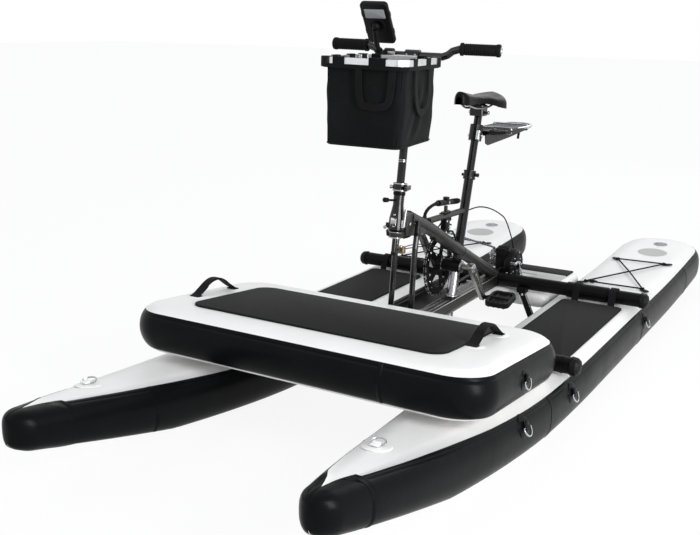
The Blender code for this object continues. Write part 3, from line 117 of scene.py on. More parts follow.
class Paint:
    """A node material under construction."""

    def __init__(self, name, colour, roughness, metallic=0.0, **sockets):
        self.made = bpy.data.materials.new(name)
        self.made.use_nodes = True
        self.tree = self.made.node_tree
        self.body = self.tree.nodes["Principled BSDF"]
        self.colour = colour
        self.roughness = roughness
        self.body.inputs["Base Color"].default_value = (*colour, 1.0)
        self.body.inputs["Roughness"].default_value = roughness
        self.body.inputs["Metallic"].default_value = metallic
        for key, value in sockets.items():
            self.body.inputs[key.replace("_", " ")].default_value = value
        self.where = self.node("ShaderNodeTexCoord").outputs["Object"]
        self.last_normal = None

    def node(self, kind, **values):
        made = self.tree.nodes.new(kind)
        for key, value in values.items():
            setattr(made, key, value)
        return made

    def link(self, out, into):
        self.tree.links.new(out, into)

    def mapped(self, scale=(1, 1, 1), turn=(0, 0, 0)):
        mapping = self.node("ShaderNodeMapping")
        mapping.inputs["Scale"].default_value = scale
        mapping.inputs["Rotation"].default_value = turn
        self.link(self.where, mapping.inputs["Vector"])
        return mapping.outputs["Vector"]

    def cloud(self, scale, detail=3.0, stretch=(1, 1, 1)):
        made = self.node("ShaderNodeTexNoise")
        made.inputs["Scale"].default_value = scale
        made.inputs["Detail"].default_value = detail
        self.link(self.mapped(stretch), made.inputs["Vector"])
        return made.outputs["Fac"]

    def waves(self, scale, axis="X", turn=(0, 0, 0)):
        made = self.node("ShaderNodeTexWave", wave_type="BANDS", bands_direction=axis)
        made.inputs["Scale"].default_value = scale
        made.inputs["Distortion"].default_value = 0.0
        self.link(self.mapped(turn=turn), made.inputs["Vector"])
        return made.outputs["Fac"]

    def cells(self, scale):
        made = self.node("ShaderNodeTexVoronoi")
        made.inputs["Scale"].default_value = scale
        self.link(self.mapped(), made.inputs["Vector"])
        return made.outputs["Distance"]

    def join(self, a, b, how="MULTIPLY"):
        made = self.node("ShaderNodeMath", operation=how)
        self.link(a, made.inputs[0])
        self.link(b, made.inputs[1])
        return made.outputs[0]

    def tint(self, factor, other, low, high):
        """Blend the base colour towards another, or a share of itself, where the factor is high."""
        if isinstance(other, float):
            other = tuple(c * other for c in self.colour)
        spread = self.node("ShaderNodeMapRange")
        spread.inputs["From Min"].default_value = low
        spread.inputs["From Max"].default_value = high
        self.link(factor, spread.inputs["Value"])
        mix = self.node("ShaderNodeMix", data_type="RGBA")
        mix.inputs["A"].default_value = (*self.colour, 1.0)
        mix.inputs["B"].default_value = (*other, 1.0)
        before = self.body.inputs["Base Color"].links
        if before:
            self.link(before[0].from_socket, mix.inputs["A"])
        self.link(spread.outputs["Result"], mix.inputs["Factor"])
        self.link(mix.outputs["Result"], self.body.inputs["Base Color"])

    def gloss(self, factor, less, more):
        spread = self.node("ShaderNodeMapRange")
        spread.inputs["To Min"].default_value = self.roughness - less
        spread.inputs["To Max"].default_value = self.roughness + more
        self.link(factor, spread.inputs["Value"])
        self.link(spread.outputs["Result"], self.body.inputs["Roughness"])

    def bump(self, height, strength, distance):
        made = self.node("ShaderNodeBump")
        made.inputs["Strength"].default_value = strength
        made.inputs["Distance"].default_value = distance
        self.link(height, made.inputs["Height"])
        if self.last_normal:
            self.link(self.last_normal, made.inputs["Normal"])
        self.last_normal = made.outputs["Normal"]
        self.link(self.last_normal, self.body.inputs["Normal"])


def pvc(name, colour, other, roughness, coat, facing=0.5):
    """Coated drop-stitch fabric: a fine woven dimple, soft wrinkles and slight scuffing."""
    made = Paint(name, colour, roughness, Coat_Weight=coat, Coat_Roughness=0.3, Specular_IOR_Level=facing)
    made.tint(made.cloud(5.0, 4.0), other, 0.35, 0.75)
    made.gloss(made.cloud(14.0, 5.0), 0.06, 0.08)
    made.bump(made.join(made.waves(75.0, "X"), made.waves(75.0, "Y")), 0.10, 0.0006)
    made.bump(made.cloud(3.2, 3.0, (1.0, 2.4, 1.0)), 0.28, 0.006)
    return made.made


def foam(name, colour):
    """Brushed foam with a fine diamond groove."""
    made = Paint(name, colour, 0.82, Sheen_Weight=0.03, Specular_IOR_Level=0.08)
    turn = (0, 0, math.radians(45))
    diamond = made.join(made.waves(32.0, "X", turn), made.waves(32.0, "Y", turn), "MAXIMUM")
    made.tint(diamond, 0.62, 0.80, 0.98)
    made.tint(made.cloud(220.0, 2.0), 1.5, 0.5, 0.9)
    made.bump(diamond, 0.45, 0.0012)
    made.bump(made.cloud(420.0, 2.0), 0.25, 0.0005)
    return made.made


def painted(name, colour=(0.004, 0.004, 0.0045), roughness=0.17, coat=0.12, facing=0.26):
    made = Paint(name, colour, roughness, Coat_Weight=coat, Coat_Roughness=0.08, Specular_IOR_Level=facing)
    made.tint(made.cloud(30.0, 5.0), 1.7, 0.55, 0.9)
    made.gloss(made.cloud(60.0, 4.0), 0.05, 0.08)
    made.bump(made.cloud(500.0, 2.0), 0.06, 0.0003)
    return made.made


def metal(name, colour, roughness, stretch=(1, 1, 1)):
    made = Paint(name, colour, roughness, 1.0)
    made.tint(made.cloud(40.0, 4.0), 0.72, 0.5, 0.85)
    made.gloss(made.cloud(90.0, 6.0, stretch), 0.06, 0.12)
    made.bump(made.cloud(300.0, 3.0, stretch), 0.08, 0.0003)
    return made.made


def plastic(name, colour=(0.005, 0.005, 0.0055), roughness=0.42):
    made = Paint(name, colour, roughness, Specular_IOR_Level=0.12)
    made.tint(made.cloud(18.0, 4.0), 1.6, 0.5, 0.9)
    made.gloss(made.cloud(45.0, 4.0), 0.07, 0.1)
    made.bump(made.cells(700.0), 0.14, 0.0004)
    return made.made


def rubber(name, colour):
    made = Paint(name, colour, 0.66, Specular_IOR_Level=0.1)
    made.tint(made.cloud(25.0, 4.0), 1.7, 0.5, 0.85)
    made.bump(made.cells(520.0), 0.22, 0.0005)
    return made.made


def cloth(name, colour, scale):
    made = Paint(name, colour, 0.66, Sheen_Weight=0.02, Sheen_Roughness=0.5, Specular_IOR_Level=0.06)
    weave = made.join(made.waves(scale, "X"), made.waves(scale, "Z"))
    weave = made.join(weave, made.waves(scale, "Y"), "ADD")
    made.tint(made.cloud(9.0, 4.0), 1.9, 0.4, 0.8)
    made.bump(weave, 0.25, 0.0006)
    made.bump(made.cloud(26.0, 4.0), 0.35, 0.0025)
    return made.made


def leatherette(name, colour):
    made = Paint(name, colour, 0.30, Specular_IOR_Level=0.08)
    made.tint(made.cloud(22.0, 4.0), 1.6, 0.45, 0.85)
    made.bump(made.cells(330.0), 0.22, 0.0006)
    return made.made


WHITE_PVC = pvc("white_pvc", (0.82, 0.815, 0.805), (0.77, 0.765, 0.755), 0.42, 0.1)
BLACK_PVC = pvc("black_pvc", (0.0022, 0.0025, 0.0029), (0.004, 0.0045, 0.005), 0.30, 0.0, 0.06)
GREY_PVC = pvc("grey_pvc", (0.42, 0.42, 0.41), (0.36, 0.36, 0.35), 0.45, 0.1)
EVA = foam("charcoal_foam", (0.009, 0.009, 0.0094))
EVA_EDGE = foam("foam_edge", (0.007, 0.0065, 0.0065))
BLACK_PAINT = painted("black_paint")
SATIN_BLACK = painted("satin_black", (0.0035, 0.0035, 0.0038), 0.34, 0.0, 0.07)
DARK_CHROME = metal("dark_chrome", (0.032, 0.032, 0.034), 0.22)
FRAME_GREY = painted("frame_grey", (0.019, 0.0185, 0.0175), 0.40, 0.06)
POLISHED = metal("polished_alloy", (0.55, 0.56, 0.58), 0.18)
FORGED = metal("forged_alloy", (0.27, 0.265, 0.26), 0.26)
BRUSHED = metal("brushed_alloy", (0.74, 0.75, 0.76), 0.30, (1, 1, 12))
STEEL = metal("steel", (0.42, 0.42, 0.43), 0.24)
KEEL = metal("keel_anodised", (0.075, 0.074, 0.070), 0.36, (8, 0.4, 8))
BRONZE = metal("bronze", (0.36, 0.27, 0.17), 0.42)
PLASTIC = plastic("black_plastic")
GREY_PLASTIC = plastic("grey_plastic", (0.30, 0.31, 0.31), 0.35)
RUBBER = rubber("black_rubber", (0.005, 0.005, 0.005))
BAG = cloth("bag_cloth", (0.0035, 0.0038, 0.004), 230.0)
WEB = cloth("webbing", (0.005, 0.005, 0.0055), 330.0)
VINYL = leatherette("saddle_vinyl", (0.003, 0.003, 0.0034))
GLASS_GREY = plastic("window_grey", (0.26, 0.275, 0.28), 0.2)


# Mesh helpers

def mesh_object(name, bm, paints, smooth=45.0):
    bmesh.ops.recalc_face_normals(bm, faces=bm.faces)
    mesh = bpy.data.meshes.new(name)
    bm.to_mesh(mesh)
    bm.free()
    mesh.shade_smooth()
    mesh.set_sharp_from_angle(angle=math.radians(smooth))
    made = bpy.data.objects.new(name, mesh)
    bpy.context.scene.collection.objects.link(made)
    for paint in paints:
        mesh.materials.append(paint)
    return made


def add_skin(bm, rings, closed=False, caps=True, index=0):
    """Skin equal rings inside a bmesh."""
    made = [[bm.verts.new(point) for point in ring] for ring in rings]
    count = len(made[0])
    pairs = list(zip(made[:-1], made[1:]))
    if closed:
        pairs.append((made[-1], made[0]))
    faces = []
    for first, second in pairs:
        for i in range(count):
            j = (i + 1) % count
            faces.append(bm.faces.new((first[i], first[j], second[j], second[i])))
    if caps and not closed:
        faces.append(bm.faces.new(made[0][::-1]))
        faces.append(bm.faces.new(made[-1]))
    for face in faces:
        face.material_index = index


def steady_hint(directions):
    axes = [Vector((1, 0, 0)), Vector((0, 1, 0)), Vector((0, 0, 1))]
    worst = [max(abs(d.normalized().dot(axis)) for d in directions) for axis in axes]
    return axes[worst.index(min(worst))]


def add_tube(bm, points, radius, sides=12, index=0, closed=False):
    points = [Vector(p) for p in points]
    hint = steady_hint([b - a for a, b in zip(points[:-1], points[1:])])
    rings = []
    for i, point in enumerate(points):
        along = points[min(i + 1, len(points) - 1)] - points[max(i - 1, 0)]
        along.normalize()
        first = (hint - along * along.dot(hint)).normalized()
        second = along.cross(first)
        rings.append([point + (first * c + second * s) * radius for c, s in on_circle(sides)])
    add_skin(bm, rings, closed, index=index)


def smooth_path(points, step):
    points = [Vector(p) for p in points]
    padded = [points[0] * 2 - points[1]] + points + [points[-1] * 2 - points[-2]]
    out = [points[0]]
    for i in range(1, len(padded) - 2):
        a, b, c, d = padded[i - 1:i + 3]
        pieces = max(1, round((c - b).length / step))
        for k in range(1, pieces + 1):
            t = k / pieces
            out.append(0.5 * ((2 * b) + (c - a) * t + (2 * a - 5 * b + 4 * c - d) * t * t
                              + (3 * b - a - 3 * c + d) * t * t * t))
    return out


def route(spots, step):
    """A smooth path through spots given as x, station and height."""
    return smooth_path([at(*spot) for spot in spots], step)


def add_turned(bm, profile, origin, direction, sides=24, index=0, bored=False):
    """Turn (along, radius) pairs about a line; a bored profile closes on itself."""
    origin = Vector(origin)
    direction = Vector(direction).normalized()
    hint = steady_hint([direction])
    first = (hint - direction * direction.dot(hint)).normalized()
    second = direction.cross(first)
    rings = []
    for along, radius in profile:
        rings.append([origin + direction * along + (first * c + second * s) * max(radius, 0.0002)
                      for c, s in on_circle(sides)])
    add_skin(bm, rings, closed=bored, index=index)


def add_band(bm, origin, direction, radii, span, sides=24, index=0):
    """A plain band with a bore: its inner and outer radius, and where it starts and ends along the line."""
    inner, outer = radii
    low, high = span
    profile = [(low, inner), (low, outer), (high, outer), (high, inner)]
    add_turned(bm, profile, origin, direction, sides, index, bored=True)


def rounded_outline(half_u, half_v, radius, steps=6, straight=0):
    """A rounded rectangle's outline, with extra points along its straight sides."""
    out = []
    corners = ((half_u - radius, half_v - radius, 0), (radius - half_u, half_v - radius, 90),
               (radius - half_u, radius - half_v, 180), (half_u - radius, radius - half_v, 270))
    for cu, cv, start in corners:
        for k in range(steps + 1):
            angle = math.radians(start + 90 * k / steps)
            out.append((cu + radius * math.cos(angle), cv + radius * math.sin(angle)))
    full = []
    for i, (u, v) in enumerate(out):
        full.append((u, v))
        if (i + 1) % (steps + 1) == 0:
            nu, nv = out[(i + 1) % len(out)]
            for k in range(1, straight + 1):
                t = k / (straight + 1)
                full.append((u + (nu - u) * t, v + (nv - v) * t))
    return full


def add_plate(bm, outline, place, thick, edge=0.001, index=0, base=0.0):
    """A plate with softened top edge: place(u, v, height) gives its points, and inset follows the outline."""
    middle_u = sum(u for u, v in outline) / len(outline)
    middle_v = sum(v for u, v in outline) / len(outline)
    rings = []
    for inset, height in ((0, 0), (0, thick - edge), (edge * 0.4, thick - edge * 0.3), (edge * 1.2, thick)):
        ring = []
        for u, v in outline:
            away = Vector((u - middle_u, v - middle_v))
            length = max(away.length, 1e-6)
            away *= max(length - inset, 0.0) / length
            ring.append(place(middle_u + away.x, middle_v + away.y, base + height))
        rings.append(ring)
    add_skin(bm, rings, index=index)


def lay_plate(bm, surface, centre, outline, thick, edge, index=0, base=0.0):
    """A plate laid on a surface that is given by surface(x, station, height)."""
    def place(u, v, height):
        return surface(centre[0] + u, centre[1] + v, height)
    add_plate(bm, outline, place, thick, edge, index, base)


def add_block(bm, centre, size, turn=Matrix.Identity(3), bevel=0.0015, index=0):
    """A block with all its edges eased."""
    centre = Vector(centre)
    half = Vector(size) / 2
    bevel = min(bevel, min(half) * 0.9)
    rings = []
    for height, inset in ((-half.z, bevel), (bevel - half.z, 0.0), (half.z - bevel, 0.0), (half.z, bevel)):
        outline = rounded_outline(half.x - inset, half.y - inset, max(bevel - inset * 0.5, bevel * 0.5), 3)
        rings.append([centre + turn @ Vector((u, v, height)) for u, v in outline])
    add_skin(bm, rings, index=index)


def add_bolt(bm, centre, direction, radius=0.005, height=0.004, index=0):
    """A dome-headed bolt with a hexagon socket."""
    profile = [(0, radius), (height * 0.6, radius), (height * 0.9, radius * 0.85), (height, radius * 0.55),
               (height, radius * 0.42), (height * 0.5, radius * 0.40), (height * 0.5, 0.0)]
    add_turned(bm, profile, centre, Vector(direction).normalized(), 12, index)


def add_patch(bm, place, radius, steps, sides=28, index=0):
    """A round patch on place(along, up, proud), by steps of its share of the radius and its height."""
    rings = []
    for share, proud in steps:
        rings.append([place(radius * share * c, radius * share * s, proud) for c, s in on_circle(sides)])
    add_skin(bm, rings, index=index)


def welded_patch(bm, place, radius, index=0, height=0.0035):
    shares = ((1.0, 0.17), (0.97, 0.6), (0.9, 0.75), (0.62, 1.0), (0.3, 1.0), (0.05, 1.0))
    add_patch(bm, place, radius, [(share, height * lift) for share, lift in shares], index=index)


def steer_axis():
    return Vector((0, math.sin(STEER_LEAN), math.cos(STEER_LEAN)))


def turn_point(point):
    """Where a point goes with the bar, which the photograph shows turned."""
    foot = at(0, *STEER_FOOT)
    return foot + Matrix.Rotation(STEER_TURN, 3, steer_axis()) @ Vector(Vector(point) - foot)


TURNED_BODIES = ("cockpit", "steering", "post", "phone")


def piece(name, body, paints, build, replaces=(), smooth=45.0):
    """Build a piece in a fresh bmesh, turn it with the bar where its body does, and seat it on its body."""
    bm = bmesh.new()
    build(bm)
    if body in TURNED_BODIES:
        for vert in bm.verts:
            vert.co = turn_point(vert.co)
    made = mesh_object(name, bm, paints, smooth)
    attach(made, body)
    if replaces:
        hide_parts(*replaces)
    return made


def piece_unridden(name, paints, build):
    bm = bmesh.new()
    build(bm)
    made = mesh_object(name, bm, paints)
    return made


# The floats

def rocker(station):
    if station < ROCKER_START:
        run = ROCKER_START - station
        return ROCKER_SHAPE[0] * run * run / (run + ROCKER_SHAPE[1])
    if station > TAIL_RISE_START:
        run = (station - TAIL_RISE_START) / (FLOAT_TAIL - TAIL_RISE_START)
        return TAIL_RISE * run * run
    return 0.0


def float_half_width(station, edge):
    share = 1.0
    if station < NOSE_TAPER_END:
        run = (station - FLOAT_TIP) / (NOSE_TAPER_END - FLOAT_TIP)
        blunt = NOSE_BLUNT[edge]
        share = blunt + (1 - blunt) * math.sin(math.pi / 2 * max(run, 0.0) ** NOSE_POWER[edge])
    return FLOAT_HALF_WIDTH * share


def cap_shares(station):
    """How much of the width and thickness is left inside the rounded ends."""
    if station < FLOAT_TIP + NOSE_CAP:
        angle = math.acos(min(1.0, max(-1.0, 1 - (station - FLOAT_TIP) / NOSE_CAP)))
        return math.sin(angle) ** 0.8, 0.55 + 0.45 * math.sin(angle)
    if station > FLOAT_TAIL - TAIL_CAP:
        angle = math.asin(min(1.0, (station - FLOAT_TAIL + TAIL_CAP) / TAIL_CAP))
        return math.cos(angle) ** 0.55, 0.8 + 0.2 * math.cos(angle) ** 0.5
    return 1.0, 1.0


def squared_off(value, power=2 / WALL_SQUARENESS):
    return math.copysign(abs(value) ** power, value)


def hull_section(hand, station):
    """The middle line, half thickness, side arc and flat half width of a float at a station."""
    sign = 1 if hand == "left" else -1
    width_share, thick_share = cap_shares(station)
    thick = FLOAT_THICK
    if station < THIN_START:
        thick -= (FLOAT_THICK - NOSE_THICK) * (THIN_START - station) / (THIN_START - FLOAT_TIP)
    inner = float_half_width(station, "inner")
    outer = float_half_width(station, "outer")
    half_width = (inner + outer) / 2 * width_share
    arc = min(thick / 2, half_width * 0.92)
    centre = sign * (FLOAT_X + (outer - inner) / 2)
    return centre, rocker(station) - thick / 2, thick / 2 * thick_share, arc, half_width - arc


def hull_point(hand, station, climb, side, proud=0.0):
    """A point of a float's skin. climb runs from -1 under its keel line, over 0 to 1 up its side, to 2 on
    the middle of its top; side is 1 or -1 across the float."""
    lead = 0.0 if hand == "left" else FAR_FLOAT_LEAD
    centre, middle, half_thick, arc, flat = hull_section(hand, station)
    if climb < 0:
        across, rise, normal = flat * (1 + climb), -half_thick, Vector((0, 0, -1))
    elif climb > 1:
        across, rise, normal = flat * (2 - climb), half_thick, Vector((0, 0, 1))
    else:
        angle = math.pi * (climb - 0.5)
        out, up = math.cos(angle), math.sin(angle)
        across = flat + arc * squared_off(out)
        rise = half_thick * squared_off(up)
        bulge = 2 - 2 / WALL_SQUARENESS
        normal = Vector((side * squared_off(out, bulge), 0, squared_off(up, bulge))).normalized()
    return at(centre + side * across, station - lead, middle + rise) + normal * proud


def ring_point(hand, station, climb, proud):
    """A point of a float's skin with a climb that goes on past 2 down the -X side."""
    if climb <= 2:
        return hull_point(hand, station, climb, 1, proud)
    return hull_point(hand, station, 4 - climb, -1, proud)


def climb_from_rise(hand, station, rise):
    """The climb at a height above a float's middle line."""
    share = max(-1.0, min(1.0, rise / hull_section(hand, station)[2]))
    return 0.5 + math.asin(squared_off(share, WALL_SQUARENESS / 2)) / math.pi


def top_point(hand, station, offset, proud=0.0):
    """A point of a float's top at an offset in X from the middle of its width there."""
    arc, flat = hull_section(hand, station)[3:]
    side = 1 if offset >= 0 else -1
    reach = abs(offset)
    if reach <= flat:
        return hull_point(hand, station, 2 - reach / flat, side, proud)
    share = min(1.0, (reach - flat) / arc)
    return hull_point(hand, station, 0.5 + math.acos(share ** (WALL_SQUARENESS / 2)) / math.pi, side, proud)


def between(steps, station):
    """A value read between listed stations, held constant outside them."""
    if station <= steps[0][0]:
        return steps[0][1]
    for (low, first), (high, second) in zip(steps, steps[1:]):
        if station <= high:
            return first + (second - first) * (station - low) / (high - low)
    return steps[-1][1]


def hull_profile(station):
    """(climb, proud, material of the stretch that follows) round a ring, from under the keel line and back.
    climb goes on past 2 down the other side."""
    low = between(LOW_SEAM_STEPS, station)
    far = 4 - between(INNER_SEAM_STEPS, station)
    near = min(between(SEAM_STEPS, station), far - 0.002)
    closed = station < SEAM_STEPS[0][0] - 0.0001

    def wall(seam):
        steps = 14
        groove = seam - 0.075 if seam < 1.2 else low + (seam - low) * 0.55
        marks = [(low, 0.0, 1)]
        for k in range(steps):
            marks.append((low + 0.004 + (groove - 0.012 - low) * k / steps, TAPE, 1))
        marks += [(groove - 0.008, TAPE, 1), (groove, GROOVE, 1), (groove + 0.008, TAPE, 1)]
        return marks + [(seam - 0.004, TAPE, 1)]

    out = [(climb, 0.0, 0) for climb in (-1.0, -0.6, -0.25, 0.0, 0.06)]
    out += wall(near)
    steps = 18
    for k in range(steps):
        out.append((near + (far - near) * (k / steps), 0.0, 1 if closed else 0))
    back = wall(4 - far)
    out.append((far, 0.0, 1))
    for index in range(len(back) - 1, -1, -1):
        climb, proud, _ = back[index]
        out.append((4 - climb, proud, 1 if index else 0))
    return out + [(4 - climb, 0.0, 0) for climb in (0.06, 0.0, -0.25, -0.6)]


def hull_stations():
    steps, count, seams = 12, 84, 10
    start = FLOAT_TIP + NOSE_CAP
    end = FLOAT_TAIL - TAIL_CAP
    cross_from, cross_to = SEAM_STEPS[0][0], SEAM_STEPS[3][0]
    out = [start - NOSE_CAP * math.cos(math.pi / 2 * (k + 0.25) / steps) for k in range(steps)]
    out += [start + (end - start) * k / count for k in range(count + 1)]
    out += [cross_from + (cross_to - cross_from) * (k + 0.5) / seams for k in range(seams)]
    out += [end + TAIL_CAP * math.sin(math.pi / 2 * (k - 0.015) / steps) for k in range(1, steps + 1)]
    return sorted(out + [SEAM_STEPS[2][0], cross_to, cross_from, cross_from - 0.0004])


def make_hull(hand):
    profiles = [(station, hull_profile(station)) for station in hull_stations()]

    def build(bm):
        rings = [[ring_point(hand, station, climb, proud) for climb, proud, _ in marks]
                 for station, marks in profiles]
        add_skin(bm, rings)
        count = len(rings[0])
        for index, face in enumerate(bm.faces):
            row = index // count
            face.material_index = profiles[row][1][index % count][2] if row < len(rings) - 1 else 1
    piece("hull_" + hand, "craft", [WHITE_PVC, BLACK_PVC], build, ["float_" + hand], 60.0)


def add_wall_tape(bm, hand, station, side):
    """A welded tape up the black wall."""
    half = 0.007
    low = between(LOW_SEAM_STEPS, station) + 0.01
    high = min(between(SEAM_STEPS if side > 0 else INNER_SEAM_STEPS, station) - 0.006, 0.94)
    section = ((-half, 0.0006), (-half + 0.001, 0.0018), (half - 0.001, 0.0018), (half, 0.0006))
    steps = 22
    rings = []
    for k in range(steps + 1):
        climb = low + (high - low) * k / steps
        rings.append([hull_point(hand, station + dx, climb, side, proud) for dx, proud in section])
    add_skin(bm, rings)


def d_ring(bm, centre, along, down, normal, size, index, strap):
    """A bent steel ring with a straight bar, held by a short webbing loop."""
    along, down, normal = (Vector(v) for v in (along, down, normal))
    bar = centre + normal * 0.0062
    loop = []
    for k in range(13):
        out, drop = math.cos(math.pi * k / 12), math.sin(math.pi * k / 12)
        loop.append(bar + along * size * out + down * size * 1.15 * drop + normal * 0.006 * drop)
    loop += [bar - along * size * 0.5, bar, bar + along * size * 0.5]
    add_tube(bm, loop, 0.0024, 8, index, closed=True)
    turn = Matrix((along, down, normal)).transposed()
    add_block(bm, centre + normal * 0.0048 - down * 0.004, (size * 1.1, 0.028, 0.0045), turn, 0.0012, strap)
    add_turned(bm, [(-size * 0.5, 0.0042), (size * 0.5, 0.0042)], bar, along, 12, strap)


# Where the floats' fittings are: stations of the wall tapes, station and climb of the tow rings on the outer
# walls, and station and offset of those on the noses
OUTER_TAPES = (-1.172, -0.323, 0.6246, 1.35)
INNER_TAPES = (-0.919, 0.0, 1.0)
WALL_RINGS = ((-0.5115, 0.602), (-0.166, 0.565), (0.655, 0.568))
NOSE_RINGS = {"left": (-0.980, -0.031), "right": (-1.018, -0.036)}
VALVE_STATION = 1.612
TAIL_DISC_STATION = 1.468
FOOT_PAD_STATION = 0.231
FOOT_PAD_HALF = (0.110, 0.353)
FOOT_PAD_CORNER = 0.02
FOAM_THICK = 0.0053
FOAM_LIFT = 0.0003
WALL_PATCH_RADIUS = 0.031
NOSE_PATCH_RADIUS = 0.037
TAIL_DISC_RADIUS = 0.062


def add_wall_ring(bm, hand, sign, station, climb):
    base_rise = hull_section(hand, station)[2] * squared_off(math.sin(math.pi * (climb - 0.5)))

    def wall(along, up, proud):
        spot = station + along
        return hull_point(hand, spot, climb_from_rise(hand, spot, base_rise + up), sign, proud)
    welded_patch(bm, wall, WALL_PATCH_RADIUS)
    centre = wall(0, 0, 0.003)
    normal = (wall(0, 0, 0.01) - centre).normalized()
    along = (wall(0.02, 0, 0.003) - centre).normalized()
    down = normal.cross(along).normalized()
    if down.z > 0:
        down = -down
    d_ring(bm, centre, along, down, normal, 0.02, 2, 0)


def add_nose_ring(bm, hand):
    station, offset = NOSE_RINGS[hand]

    def top(along, up, proud):
        return top_point(hand, station + along, offset + up, proud)
    welded_patch(bm, top, NOSE_PATCH_RADIUS, 1)
    centre = top(0, 0, 0.003)
    back = (top(0.02, 0, 0.003) - centre).normalized()
    across = (top(0, 0.01, 0.003) - centre).normalized()
    normal = across.cross(back).normalized()
    if normal.z <= 0:
        normal = -normal
    d_ring(bm, centre, across, back, normal, 0.019, 2, 1)


def make_float_fittings():
    for hand, sign in SIDES:
        def tapes(bm):
            for side in (1, -1):
                for station in OUTER_TAPES if side == sign else INNER_TAPES:
                    add_wall_tape(bm, hand, station, side)
        piece("wall_tape_" + hand, "craft", [BLACK_PVC], tapes)

        def patches(bm):
            for station, climb in WALL_RINGS:
                add_wall_ring(bm, hand, sign, station, climb)
            add_nose_ring(bm, hand)
        piece("ring_patches_" + hand, "craft", [BLACK_PVC, WHITE_PVC, POLISHED], patches)

        def valve(bm):
            base = hull_point(hand, VALVE_STATION, 1.99, sign)
            profile = [(-0.002, 0.030), (0.0015, 0.030), (0.0025, 0.0285), (0.003, 0.024), (0.003, 0.0225),
                       (0.0012, 0.0215), (0.0012, 0.018), (0.0045, 0.017), (0.0060, 0.0145), (0.0062, 0.004),
                       (0.0050, 0.0)]
            add_turned(bm, profile, base, (0, 0, 1), 36)
            for k in range(6):
                angle = math.pi * k / 3
                rib = base + shift(math.cos(angle), math.sin(angle)) * 0.0115 + shift(z=0.0062)
                add_block(bm, rib, (0.008, 0.0022, 0.0018), Matrix.Rotation(angle, 3, "Z"), 0.0006)
        piece("valve_" + hand, "craft", [GREY_PLASTIC], valve)

        def tail_disc(bm):
            def top(along, up, proud):
                return top_point(hand, TAIL_DISC_STATION + along, up, proud)
            welded_patch(bm, top, TAIL_DISC_RADIUS, 0, 0.0018)
        piece("tail_patch_" + hand, "craft", [GREY_PVC], tail_disc)

        def pad(bm):
            centre = (sign * FLOAT_X, FOOT_PAD_STATION)
            outline = rounded_outline(*FOOT_PAD_HALF, FOOT_PAD_CORNER)
            lay_plate(bm, at, centre, outline, FOAM_THICK, 0.0016, 0, FOAM_LIFT)
        node = "float_pad_" + hand
        made = piece("foam_pad_" + hand, "craft", [EVA, EVA_EDGE], pad, [node])


# The foredeck

DECK_MIDDLE = (DECK_FRONT + DECK_REAR) / 2
DECK_SEAMS = (math.radians(38), math.radians(145))
DECK_RING = (-0.527, math.radians(88))
DECK_JOINT_X = 0.277
DECK_PAD_AT = (-0.013, -0.5)
DECK_PAD_HALF = (0.399, 0.19)
DECK_PAD_CORNER = 0.05
HANDLE_HALF = 0.1
HANDLE_HALF_WIDTH = 0.0155
HANDLE_ARCH = 0.041
HANDLES = (("left", 0.403, -0.442), ("right", -0.470, -0.492))


def deck_point(x, station, height_from_top):
    top = DECK_TOP_FRONT + DECK_SLOPE * (station - DECK_FRONT)
    return at(x, station, top + height_from_top)


def deck_rim(angle, proud=0.0):
    """How far in and down the deck's rounded rim lies, at an angle that is 0 on top and pi below."""
    radius = DECK_THICK / 2
    inset = radius * (1 - math.sin(angle)) * 0.65 - proud * math.sin(angle)
    depth = radius * (1 - math.cos(angle)) - proud * math.cos(angle)
    return inset, depth


def deck_ring(inset, depth):
    half = (DECK_REAR - DECK_FRONT) / 2
    corner = max(DECK_CORNER - inset * 0.6, 0.02)
    outline = rounded_outline(DECK_HALF_WIDTH - inset, half - inset, corner, 14, 10)
    return [deck_point(x, DECK_MIDDLE + y, -depth) for x, y in outline]


def deck_wall(x, angle, proud):
    """A point of the deck's front wall."""
    inset, depth = deck_rim(angle, proud)
    return deck_point(x, DECK_FRONT + inset, -depth)


def deck_side(sign, station, angle, proud):
    """A point of the deck's left or right wall."""
    inset, depth = deck_rim(angle, proud)
    return deck_point(sign * (DECK_HALF_WIDTH - inset), station, -depth)


